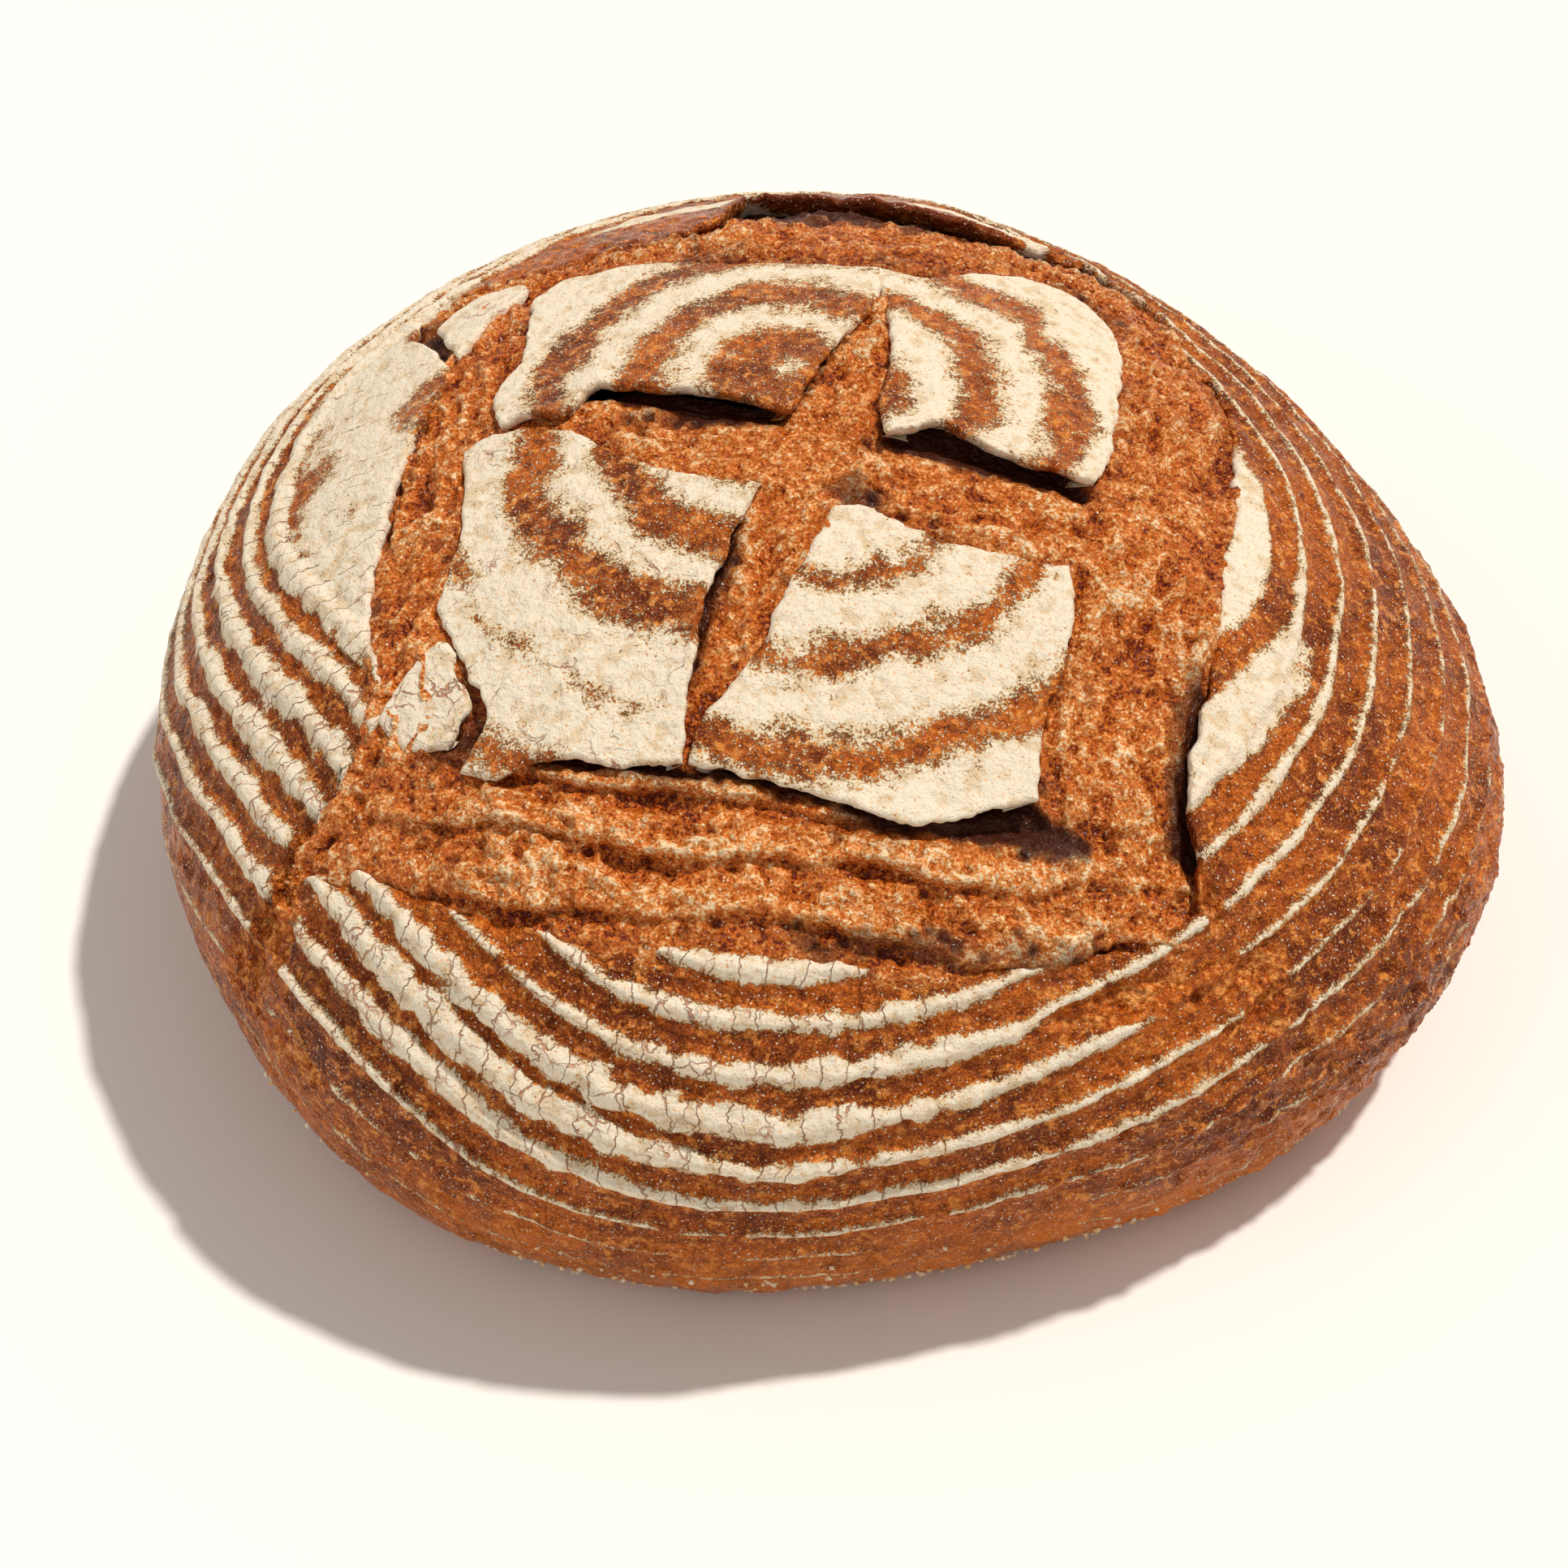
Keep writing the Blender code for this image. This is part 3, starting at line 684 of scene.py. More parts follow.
def torn_crumb():
    """Crumb that tore open in the oven and caramelised.

    Its gelled starch is glossy and wrinkled, orange brown on the high places and paler there as painted
    highlight, dark in its hollows as painted shade, with thin pale films torn up between the bubbles. White
    specks are painted glints, and painted shade darkens it where it lies deep under a crust's edge.
    """
    made, add, where = new_material("torn_crumb_caramelised")
    fields = read_fields(add, where, ("rise", "shade"), TEAR_GRAINS)
    fold = add("Math", (fields["medium"], 0.5), operation="SUBTRACT")
    fold = add("Math", (fold,), operation="ABSOLUTE")
    fields["film_and_painted_highlight"] = add("MapRange", (fold, *FILM), **EASE)
    torn = add("MapRange", (fields["fine"], *TORN), **EASE)
    fields["torn"] = add("Math", (torn, fields["film_and_painted_highlight"]), operation="MULTIPLY")
    fields["tone"] = weigh(add, fields, TEAR_TONE, -TEAR_MIDDLE)
    # Painted highlights: white specks in the palest colour where the clumps stand
    glint = add("TexVoronoi", {"Vector": where, "Scale": per_metre(TEAR_GLINT_PITCH)}, "Distance")
    glint = add("MapRange", (glint, *TEAR_GLINT), **EASE)
    clump = add("MapRange", (fields["clump"], *CLUMP), **EASE)
    fields["glint"] = add("Math", (glint, clump), operation="MULTIPLY")
    tear = lay_colours(add, fields, colour("tear_dark"), TEAR_LAYERS)
    height = weigh(add, fields, TEAR_HEIGHT)
    relief = add("Bump", {"Height": height, "Distance": TEAR_BUMP * MM, "Strength": 1.0})
    surface = add("BsdfPrincipled", {"Base Color": tear, "Roughness": TEAR_GLOSS, "IOR": STARCH_IOR,
                                     "Specular IOR Level": TEAR_SPECULAR, "Normal": relief})
    add("OutputMaterial", {"Surface": surface})
    return made


SEMOLINA_TONES = (("tone", 0.35, 0.65, 0.0, 1.0, "flour"),)
SEMOLINA_GRAIN = {"tone": (2.0, 1.0, 0.5, 0.0)}
SEMOLINA_GLOSS, SEMOLINA_IOR = 0.5, 1.5


def semolina_grain():
    """Semolina, milled hard wheat: small sharp glassy grains, cream to yellow, toasted under the loaf."""
    made, add, where = new_material("semolina_milled")
    fields = read_fields(add, where, (), SEMOLINA_GRAIN)
    base = lay_colours(add, fields, colour("semolina"), SEMOLINA_TONES)
    surface = add("BsdfPrincipled", {"Base Color": base, "Roughness": SEMOLINA_GLOSS, "IOR": SEMOLINA_IOR})
    add("OutputMaterial", {"Surface": surface})
    return made


def material(name, make):
    """Return a material by name, made the first time it is asked for."""
    return bpy.data.materials.get(name) or make()


# ---------------------------------------------------------------- the pieces

EDGE_INSET = 0.9  # from a torn edge to where the crust's flat grid starts, in mm
SECTORS = 4
SKIN_COLUMNS = 1320
SKIN_ROWS = 136
HEEL_ROWS = 34
BASE_ROWS = 10
BELLY_END = 168.0
HEEL_END = 203.0
BASE_HOLE = 3.0


def skin_edge(degrees):
    """Return the distance from the middle to the side skin's torn inner edge."""
    angle = np.radians(degrees)
    around = np.stack((np.cos(angle), np.sin(angle), 0.0 * angle), axis=-1) * 90.0
    ragged = 0.7 * rough(around, 5.0, 21, 3)
    return round_table(SKIN_EDGE, degrees) + ragged


def patches(table, degrees, distance, points):
    """Return how far inside the nearest oval patch a point lies, from 1 in its middle to below 0."""
    best = np.full(distance.shape, -9.0)
    for direction, turn, middle, reach in table:
        away = (np.mod(degrees - direction + 180.0, 360.0) - 180.0) / turn
        best = np.maximum(best, 1.0 - np.hypot(away, (distance - middle) / reach))
    return best + 0.22 * rough(points, 9.0, 31, 3)


# Noise on the side skin, by row: kind, height, width in mm, seed and octaves
RING_WIDTH_NOISE = ((rough, 0.3, 11.0, 33, 2), (rough, 0.4, 4.5, 36, 2))
SIDE_SWELL = ((hills, 0.9, 46.0, 41), (hills, 0.45, 17.0, 42))
SIDE_GRIT = ((rough, 0.3, 4.5, 43, 3),)
HEEL_LUMPS = ((rough, 0.5, 7.0, 45, 3),)
SCAR_FOLDS = ((creases, 1.0, 6.0, 47, 3),)
BARK = ((creases, 0.75, 6.5, 48, 3),)
BARK_MIDDLE, BARK_REACH = -35.0, 34.0  # direction of the wrinkled side and its reach, in degrees
BARK_STARTS = (122.0, 140.0)  # distances down the side between which it comes in
HEEL_STARTS = (172.0, 195.0)  # distances down the side between which the heel's lumps come in
NO_FLOUR, BROKEN_FLOUR = 0.15, 0.38  # half widths in mm under which a ring has no flour, or gaps in it
FLOUR_FADE = 1.7  # distance in mm over which the flour on a ring thins out
PATCH_RISE, SPOT_FALL, DUST_RISE, SCAR_FALL = 2.2, 1.4, 0.34, 1.5  # what each adds to the flour or takes
BEADS_ROUND = 105.0  # distance from the middle at which a bead is as long as it should be, in mm
RIDGES_START, RIDGES_END = (-0.6, 0.0), (6.3, 7.5)  # ring counts between which the ridges come and go
RIDGE_HALF_WIDTH = 1.15  # of a bare ridge, in mm
SCAR_DEPTH, BLISTER_DEPTH = 1.1, 0.45  # in mm
CURL_REACH = 6.0  # how far from a torn edge its curl dies away, in mm


def skin_fields(degrees, distance, inward, points):
    """Work out the side skin's relief in mm, and its flour, toast, crackle, bead and scar fields.

    A ridge is a raised bell about each ring, taller where more flour lies on it. Blisters are small pits. The
    crust is darkened partly as painted shade, in the grooves between the ridges and by a curled torn edge.
    """
    angle = np.radians(degrees)
    count = ring_place(angle, distance, points)
    ring = np.clip(np.round(count), 0, len(FLOUR_WIDTHS) - 1).astype(int)
    away = np.abs(count - ring) * size("ring_pitch")
    widths = np.stack([np.interp(degrees[0], FLOUR_DIRECTIONS, row, period=360.0) for row in FLOUR_WIDTHS])
    half = widths[ring, np.arange(degrees.shape[1])[None, :]]
    half = half * (1.0 + heap(points, RING_WIDTH_NOISE))
    flour = np.where(half < NO_FLOUR, 0.0, 0.5 + (half - away) / FLOUR_FADE)
    flour = flour - 0.9 * step(-0.1, 0.35, rough(points, 18.0, 35, 2)) * (half < BROKEN_FLOUR)
    patch = patches(FLOUR_PATCHES, degrees, distance, points)
    flour = np.maximum(flour, 0.5 + PATCH_RISE * patch)
    spot = patches(BROWN_SPOTS, degrees, distance, points)
    flour = flour - SPOT_FALL * np.clip(spot + 0.3, 0.0, 1.0)
    dust = np.clip(0.4 + patches(DUST_PATCHES, degrees, distance, points), 0.0, 1.0)
    flour = flour + DUST_RISE * dust * (0.8 + 0.6 * rough(points, 8.0, 37, 2))
    scar = np.clip(0.5 + 2.5 * patches(SCARS, degrees, distance, points), 0.0, 1.0)
    flour = np.clip(flour - SCAR_FALL * scar, 0.0, 1.0)
    beads = angle * BEADS_ROUND / BEAD_LENGTH + 7.3 * ring + 0.35 * hills(points, 9.0, 34)

    grip = step(*RIDGES_START, count) * (1.0 - step(*RIDGES_END, count))
    crest = np.exp(-((away / np.maximum(RIDGE_HALF_WIDTH, 0.95 * half)) ** 2))
    tall = size("ring_height") * (0.75 + 0.28 * np.clip(half, 0.0, 3.0))
    lift = grip * tall * (crest - 0.4) + heap(points, SIDE_SWELL)
    lift += heap(points, SIDE_GRIT) * (1.0 - 0.5 * flour)
    round_by = np.mod(degrees - BARK_MIDDLE + 180.0, 360.0) - 180.0
    lift += np.exp(-((round_by / BARK_REACH) ** 2)) * step(*BARK_STARTS, distance) * heap(points, BARK)
    lift -= BLISTER_DEPTH * step(0.35, 0.12, bubbles(points, 6.5, 44)) * (1.0 - flour)
    lift += step(*HEEL_STARTS, distance) * heap(points, HEEL_LUMPS)
    lift += scar * (heap(points, SCAR_FOLDS) - SCAR_DEPTH)
    lift *= 1.0 - step(HEEL_END - CURL_REACH, HEEL_END, distance)

    curl = round_table(SKIN_CURL, degrees)
    lift += curl * np.exp(-np.clip(inward, 0.0, None) / CURL_REACH)
    # Painted shade: darker in the grooves between the ridges and by a curled torn edge
    toast = 0.55 * step(2.5, 4.2, away) * grip * (0.6 + 0.4 * rough(points, 14.0, 46, 2))
    toast += 0.8 * np.exp(-np.clip(inward, 0.0, None) / 5.0) * step(0.5, 1.9, curl)
    crackle = round_table(SIDE_CRACKLE, degrees) * (1.0 - 0.2 * step(0.0, 0.3, patch))
    return lift, flour, np.clip(toast, 0.0, 1.0), crackle, beads, scar


def build_side_skin():
    """Build the side skin as rows down the side and columns round it, cut into sectors.

    Each column starts at the torn edge, rolls over it, runs down over the ridges and the heel, and ends at
    the middle of the base, which the board has kept level.
    """
    degrees = np.linspace(-180.0, 180.0, SKIN_COLUMNS + 1)[None, :]
    angle = np.radians(degrees)
    edge = skin_edge(degrees)
    edge[0, -1] = edge[0, 0]
    start = down_side(edge * np.cos(angle), edge * np.sin(angle))
    back, depth = np.array(CRUST_EDGE).T
    share = np.linspace(0.0, 1.0, SKIN_ROWS)[:, None]
    side = start + EDGE_INSET + share * (BELLY_END - start - EDGE_INSET)
    total = meridian()[0][-1]
    heel = np.linspace(BELLY_END, HEEL_END, HEEL_ROWS + 1)[1:, None] + 0.0 * degrees
    base = np.linspace(HEEL_END, total - BASE_HOLE, BASE_ROWS + 1)[1:, None] + 0.0 * degrees
    distance = np.concatenate((start + back[:, None], side, heel, base))
    drop = np.concatenate((depth[:, None] + 0.0 * degrees, 0.0 * side, 0.0 * heel, 0.0 * base))
    points = on_side(angle, distance)
    normals = side_normals(angle, distance)
    degrees = degrees + 0.0 * distance
    lift, *values = skin_fields(degrees, distance, distance - start, points)
    names = ("flour", "toast", "crackle", "beads", "scar")
    points = points + normals * (lift - drop)[..., None]
    points[..., 2] = np.maximum(points[..., 2], 0.0)
    points[:, -1] = points[:, 0]
    normals = grid_normals(points)
    seam = normals[:, 0] + normals[:, -1]
    normals[:, 0] = normals[:, -1] = seam / np.linalg.norm(seam, axis=-1, keepdims=True)
    rows, columns = distance.shape
    middle = on_side(angle[0, :1], np.array([total]))
    width = SKIN_COLUMNS // SECTORS
    for sector in range(SECTORS):
        part = slice(sector * width, (sector + 1) * width + 1)
        vertices = np.concatenate((points[:, part].reshape(-1, 3), middle))
        shading = np.concatenate((normals[:, part].reshape(-1, 3), [[0.0, 0.0, -1.0]]))
        last = (rows - 1) * (width + 1)
        fan = [[last + i, len(vertices) - 1, last + i + 1] for i in range(width)]
        fields = {name: np.append(value[:, part].ravel(), 0.0) for name, value in zip(names, values)}
        add_mesh(f"side_crust_{sector + 1}", vertices, grid_faces(rows, width + 1).tolist() + fan,
                 material("baked_crust_floured", floured_crust), "floured_crust", shading, **fields)


def coons(back, right, front, left, across, along):
    """Fill a plan outline of four edges: two ruled sheets between facing edges, less the corners' sheet."""
    u, v = np.meshgrid(across, along)
    u, v = u[..., None], v[..., None]
    edges = [np.stack([np.interp(place, np.linspace(0.0, 1.0, len(edge)), column) for column in edge.T],
                      axis=-1)
             for edge, place in ((back, across), (front, across), (left, along), (right, along))]
    ruled = ((1.0 - v) * edges[0][None] + v * edges[1][None]
             + (1.0 - u) * edges[2][:, None] + u * edges[3][:, None])
    corners = ((1.0 - u) * (1.0 - v) * back[0] + u * (1.0 - v) * back[-1]
               + (1.0 - u) * v * front[0] + u * v * front[-1])
    return ruled - corners


FRAY = 0.45  # how far a torn edge frays, in mm


def torn_path(points, steps, seed):
    """Carry a smooth edge through its points and fray it sideways, but not at its two ends."""
    path = smooth_path(points, steps)
    flat = np.concatenate((path, np.zeros((steps, 1))), axis=1)
    ends = np.minimum(1.0, np.minimum(np.arange(steps), steps - 1 - np.arange(steps)) / 8.0)[:, None]
    fray = np.stack((rough(flat, 4.0, seed, 3), rough(flat, 4.0, seed + 9, 3)), axis=-1)
    return path + FRAY * ends * fray


PLATE_SPACING = 0.42  # between the points of a plate's grid, in mm
EDGE_STEPS = 160  # points along each of its edges
PLATE_CURL_REACH = 5.0  # how far from an edge its curl dies away, in mm
PLATE_SWELL = ((hills, 0.5, 24.0, 51), (rough, 0.16, 6.0, 52, 3))
FLOUR_THICKNESS = 0.25  # on a plate, in mm
FLOUR_CREASES = ((creases, 0.12, 5.0, 53, 2),)


def build_plate(name, plan, seed):
    """Build a plate of crust as a grid between its four edges, rolled over and tucked under at each."""
    *outlines, centre, curls = plan
    back, right, front, left = (torn_path(edge, EDGE_STEPS, seed + 20 * i) for i, edge in enumerate(outlines))
    lengths = [np.linalg.norm(np.diff(edge, axis=0), axis=1).sum() for edge in (back, right, front, left)]
    wide, deep = 0.5 * (lengths[0] + lengths[2]), 0.5 * (lengths[1] + lengths[3])
    inset, depth = np.array(CRUST_EDGE).T
    rows = []
    for length in (wide, deep):
        inner = np.linspace(EDGE_INSET, length - EDGE_INSET, int(length / PLATE_SPACING))
        place = np.concatenate((inset, inner, length - inset[::-1])) / length
        sink = np.concatenate((depth, 0.0 * inner, depth[::-1]))
        rows.append((place, sink))
    (across, sink_across), (along, sink_along) = rows
    plan_points = coons(back, right, front, left, across, along)
    x, y = plan_points[..., 0], plan_points[..., 1]
    points, normals = on_dome(x, y), dome_normals(x, y)
    sink = np.maximum(sink_across[None, :], sink_along[:, None])
    away = [along[:, None] * deep + 0.0 * x, (1.0 - across[None, :]) * wide + 0.0 * x,
            (1.0 - along[:, None]) * deep + 0.0 * x, across[None, :] * wide + 0.0 * x]
    lift = sum(curl * np.exp(-gap / PLATE_CURL_REACH) * (0.75 + 0.5 * rough(points, 14.0, 71 + i, 2))
               for i, (curl, gap) in enumerate(zip(curls, away)))
    lift += heap(points, PLATE_SWELL)
    radius = np.hypot(x - centre[0], y - centre[1])
    flour, toast = plate_flour(name, radius, points)
    lift += flour * (FLOUR_THICKNESS - heap(points, FLOUR_CREASES))
    points = points + normals * (lift - sink)[..., None]
    add_mesh(name, points, grid_faces(*x.shape), material("baked_crust_floured", floured_crust),
             "floured_crust", flour=flour, toast=toast, crackle=CRACKLES.get(name, PLAIN_CRACKLE) + 0.0 * x,
             beads=0.5 + 0.0 * x, scar=0.0 * x)


# How strongly each bare ring shows on a plate, from the middle outwards
PLATE_FADES = {
    "plate_back_left": (1.0, 1.0, 1.0, 0.0, 0.0),
    "plate_back_right": (0.7, 0.85, 1.0, 0.0, 0.0),
    "plate_front_left": (1.0, 0.95, 1.0, 0.2, 0.75),
    "plate_front_right": (0.9, 0.6, 0.75, 0.88, 0.0),
}
NO_RINGS = (0.0, 0.0, 0.0, 0.0, 0.0)  # on a flap
# How much the flour has cracked, from 0 to 1
CRACKLES = {"plate_front_left": 0.6, "flap_upper_left": 0.55, "flap_lower_left": 0.7}
PLAIN_CRACKLE = 0.38
BARE_HALF_WIDTH = 3.5  # of a bare ring, in mm
BARE_FADE = 7.0  # distance in mm over which its flour comes back
LEAST_FLOUR = 0.24  # that is left on a bare ring
RING_DRIFT = ((rough, 2.2, 15.0, 61, 2), (rough, 0.9, 5.0, 65, 2))


def plate_flour(name, radius, points):
    """Return flour and toast on a plate: bare rings a steady pitch apart, ragged at their edges."""
    bald = 0.35 * np.exp(-((radius / 5.0) ** 2))
    radius = radius + 3.2 * np.exp(-((radius / 12.0) ** 2)) + heap(points, RING_DRIFT)
    place = (radius - size("top_ring")) / size("top_pitch")
    ring = np.clip(np.round(place), 0, 4).astype(int)
    away = np.abs(place - ring) * size("top_pitch")
    strength = np.array(PLATE_FADES.get(name, NO_RINGS))[ring]
    half = BARE_HALF_WIDTH * (1.5 * strength - 0.5) * (1.0 + 0.3 * rough(points, 12.0, 62, 2))
    half += 2.6 * (1.15 - strength) * rough(points, 8.0, 64, 2)
    bare = np.where(strength < 0.05, 0.0, 0.5 + (half - away) / BARE_FADE)
    flour = np.clip(1.0 - bare - bald, LEAST_FLOUR, 1.0)
    toast = 0.35 * np.clip(rough(points, 9.0, 63, 2), 0.0, 1.0)
    return flour, toast


TEAR_SPACING = 0.48  # between the points of the crumb's grid, in mm
TEAR_REACH = 118.0  # of that grid from the middle, in mm
TEAR_MARGIN = 5.0  # how far the crumb reaches under the side skin, in mm
PLATE_CORE = 0.7  # share of a plate that has no crumb under it
TERRACE_PITCH = 9.0  # between the terraces across a slash, in mm
TERRACE_BREAK = 0.86  # share of that pitch after which a terrace drops
TERRACE_DRIFT = ((hills, 0.35, 16.0, 81), (hills, 0.13, 5.0, 82))
RIPPLE_HEIGHT, RIPPLE_WIDTH = 1.15, 5.5  # of the creases along a slash, in mm
TEAR_LUMPS = ((hills, 0.7, 9.0, 93), (rough, 0.5, 2.6, 94, 2), (creases, 0.5, 3.4, 97, 2))
WALL_STEEPNESS = 2.6  # the higher, the flatter a slash's middle and the steeper its walls
UNDER_SLOPE, UNDER_DEPTH = 0.3, 1.0  # how the crumb sinks under a crust: for each mm, and at most, in mm
SHARE_FADE, DEPTH_FADE = 2.2, 0.45  # how fast a slash gives way to another, for each mm beyond it or below
STRETCH, APART = 0.4, 40.0  # noise is drawn out along a slash, and each slash has its own, this far off in mm
WALL_DARKNESS, MIDDLE_DARKNESS = 0.3, -0.08  # how much darker the walls and the middle of a slash are painted; by the walls it is painted shade
EDGE_SINK = 0.8  # how much lower the crumb lies once under a crust, in mm
BIG_BUBBLE, SMALL_BUBBLE = 4.2, 2.0  # cube that holds one bubble, in mm
BIG_PIT, SMALL_PIT = 0.8, 0.3  # depth of a burst bubble, in mm


def slash_places(x, y):
    """For each slash return distance along and across it, its half width, the gap beyond and three depths."""
    places = []
    for line in SLASHES:
        path = smooth_path(line, SLASH_STEPS)
        along = np.gradient(path[:, :2], axis=0)
        along /= np.linalg.norm(along, axis=1, keepdims=True)
        length = run_length(path[:, :2])
        offset = np.stack((x, y), axis=-1)[:, None, :] - path[None, :, :2]
        nearest = np.argmin((offset ** 2).sum(axis=-1), axis=1)
        gap = offset[np.arange(len(x)), nearest]
        across = gap[:, 0] * along[nearest, 1] - gap[:, 1] * along[nearest, 0]
        past = gap[:, 0] * along[nearest, 0] + gap[:, 1] * along[nearest, 1]
        half = path[nearest, 2]
        beyond = np.hypot(np.maximum(np.abs(across) - half, 0.0), np.abs(past) * (np.abs(past) > 1.5))
        places.append((length[nearest] + past, across, half, beyond, *path[nearest, 3:].T))
    return places


def plate_core(edges):
    """Return a plate's outline drawn in towards its middle, as a closed ring of points of the plan."""
    back, right, front, left = (np.array(edge, dtype=float) for edge in edges[:4])
    ring = np.concatenate((back, right, front[::-1], left[::-1]))
    middle = ring.mean(axis=0)
    return middle + PLATE_CORE * (ring - middle)


def within(x, y, ring):
    """Tell which points lie in a closed ring: a line to their right crosses it an odd number of times."""
    inside = np.zeros(x.shape, dtype=bool)
    for (x0, y0), (x1, y1) in zip(ring, np.roll(ring, -1, axis=0)):
        if y0 != y1:
            crossing = (x1 - x0) * (y - y0) / (y1 - y0) + x0
            inside ^= ((y0 > y) != (y1 > y)) & (x < crossing)
    return inside


def build_torn_crumb():
    """Build the torn crumb as a grid over the slashes that reaches under the crusts beside them.

    The crumb lies under the crust by a depth that bends from wall to middle to wall. Terraces drop along the
    slash, bubbles leave pits, and creases stand up as films.
    """
    count = int(2.0 * TEAR_REACH / TEAR_SPACING)
    line = np.linspace(-TEAR_REACH, TEAR_REACH, count)
    grid_x, grid_y = np.meshgrid(line, line)
    x, y = grid_x.ravel(), grid_y.ravel()
    near = np.hypot(x, y) < skin_edge(np.degrees(np.arctan2(y, x))) + TEAR_MARGIN
    for edges in PLATES.values():
        near &= ~within(x, y, plate_core(edges))
    x, y = x[near], y[near]
    places = slash_places(x, y)
    outside = np.minimum.reduce([np.where(place[3] > 0.0, place[3], np.abs(place[1]) - place[2])
                                 for place in places])
    points, normals = on_dome(x, y), dome_normals(x, y)

    depth, weight, terrace, ripple, char = (np.zeros(len(x)) for i in range(5))
    for i, (along, across, half, beyond, left, middle, right) in enumerate(places):
        side = np.clip(across / half, -1.0, 1.0)
        wall = np.where(side < 0.0, left, right)
        lies = middle + (wall - middle) * np.abs(side) ** WALL_STEEPNESS
        lies = lies + np.minimum(UNDER_SLOPE * beyond, UNDER_DEPTH)
        share = np.exp(-SHARE_FADE * beyond) * np.exp(-DEPTH_FADE * lies) + 1e-9
        local = np.stack((STRETCH * along, across, APART * i + 0.0 * along), axis=-1)
        saw = np.mod(across / TERRACE_PITCH + heap(local, TERRACE_DRIFT), 1.0)
        saw = saw - 1.06 * step(TERRACE_BREAK, 1.0, saw)
        depth += share * lies
        terrace += share * TERRACE_DEPTHS[i] * (saw - 0.4)
        ripple += share * creases(local, RIPPLE_WIDTH, 83 + i, 3)
        char += share * (SLASH_DARKNESS[i] + WALL_DARKNESS * side ** 2 + MIDDLE_DARKNESS)
        weight += share
    depth, terrace, ripple = depth / weight, terrace / weight, ripple / weight

    pits = bubbles(points, BIG_BUBBLE, 91)
    relief = terrace + RIPPLE_HEIGHT * ripple + heap(points, TEAR_LUMPS)
    relief -= BIG_PIT * step(0.40, 0.15, pits) + SMALL_PIT * step(0.4, 0.1, bubbles(points, SMALL_BUBBLE, 92))
    relief *= 0.55 + 0.45 * step(-0.4, 0.5, hills(points, 26.0, 95))
    relief *= 1.0 - 0.6 * step(-1.5, 2.0, outside)
    lift = relief - depth - EDGE_SINK * step(0.0, 4.0, outside)
    points = points + normals * lift[:, None]

    number = np.full(count * count, -1)
    number[near] = np.arange(len(x))
    cells = grid_faces(count, count)[:, ::-1]
    cells = number[cells]
    cells = cells[(cells >= 0).all(axis=1)]
    used = np.unique(cells)
    back = np.zeros(len(x), dtype=int)
    back[used] = np.arange(len(used))
    # The tear is painted paler on its high places and darker in its hollows, as painted highlight and painted
    # shade
    rise = np.clip(0.55 + 0.28 * relief - 0.35 * char / weight, 0.0, 1.0)
    # Painted shade where the crumb lies deep under a crust's edge and in burst bubbles, with the darker slash
    # walls and the dark spots
    shade = 0.9 * step(0.9, 3.4, depth) + 0.35 * step(0.4, 0.15, pits) + char / weight
    for spot_x, spot_y, wide, deep, dark in CHAR_AND_SHADOW_SPOTS:
        away = np.hypot((x - spot_x) / wide, (y - spot_y) / deep) + 0.5 * rough(points, 6.0, 98, 2)
        shade += dark * step(1.2, 0.5, away)
    shade = np.clip(shade + 0.25 * hills(points, 15.0, 96) - 0.12, 0.0, 0.9)
    add_mesh("torn_crumb", points[used], back[cells], material("torn_crumb_caramelised", torn_crumb),
             "torn_crumb", rise=rise[used], shade=shade[used])


SEMOLINA_COUNT = 1500
SEMOLINA_RADII = (0.35, 0.85)  # in mm
SEMOLINA_SPREAD = 9.0  # how far up the heel the grains thin out, in mm
SEMOLINA_LOWEST = 1.15  # height of the lowest grain's middle above the board, in mm
SEMOLINA_PROUD = 0.35  # how far a grain stands out of the crust, in mm


def pebbles(centres, radii, turns, seed):
    """Return points and faces of one small octahedral pebble at each centre, its corners pulled in or out."""
    corners = np.array(((1, 0, 0), (-1, 0, 0), (0, 1, 0), (0, -1, 0), (0, 0, 1), (0, 0, -1)), dtype=float)
    rng = np.random.default_rng(seed)
    stretch = rng.uniform(0.65, 1.25, (len(centres), 6, 1)) * corners
    cosine, sine = np.cos(turns)[:, None], np.sin(turns)[:, None]
    x = stretch[..., 0] * cosine - stretch[..., 1] * sine
    y = stretch[..., 0] * sine + stretch[..., 1] * cosine
    points = centres[:, None, :] + radii[:, None, None] * np.stack((x, y, 0.8 * stretch[..., 2]), axis=-1)
    faces = np.array(((0, 2, 4), (2, 1, 4), (1, 3, 4), (3, 0, 4), (2, 0, 5), (1, 2, 5), (3, 1, 5), (0, 3, 5)))
    return points.reshape(-1, 3), (faces[None] + 6 * np.arange(len(centres))[:, None, None]).reshape(-1, 3)


def build_semolina():
    """Scatter semolina grains over the heel, thickest near its lowest edge."""
    rng = np.random.default_rng(5)
    angle = rng.uniform(-math.pi, math.pi, SEMOLINA_COUNT)
    distance = HEEL_END - 3.0 - np.abs(rng.normal(0.0, SEMOLINA_SPREAD, SEMOLINA_COUNT))
    centres = on_side(angle, distance)
    outward = np.stack((np.cos(angle), np.sin(angle), 0.0 * angle), axis=-1)
    centres = centres + SEMOLINA_PROUD * outward
    centres[:, 2] = np.maximum(centres[:, 2], SEMOLINA_LOWEST)
    points, faces = pebbles(centres, rng.uniform(*SEMOLINA_RADII, SEMOLINA_COUNT),
                            rng.uniform(0.0, 6.0, SEMOLINA_COUNT), 6)
    piece = add_mesh("semolina_grains", points, faces, material("semolina_milled", semolina_grain),
                     "floured_crust")
    piece.data.shade_flat()


# ---------------------------------------------------------------- the stage

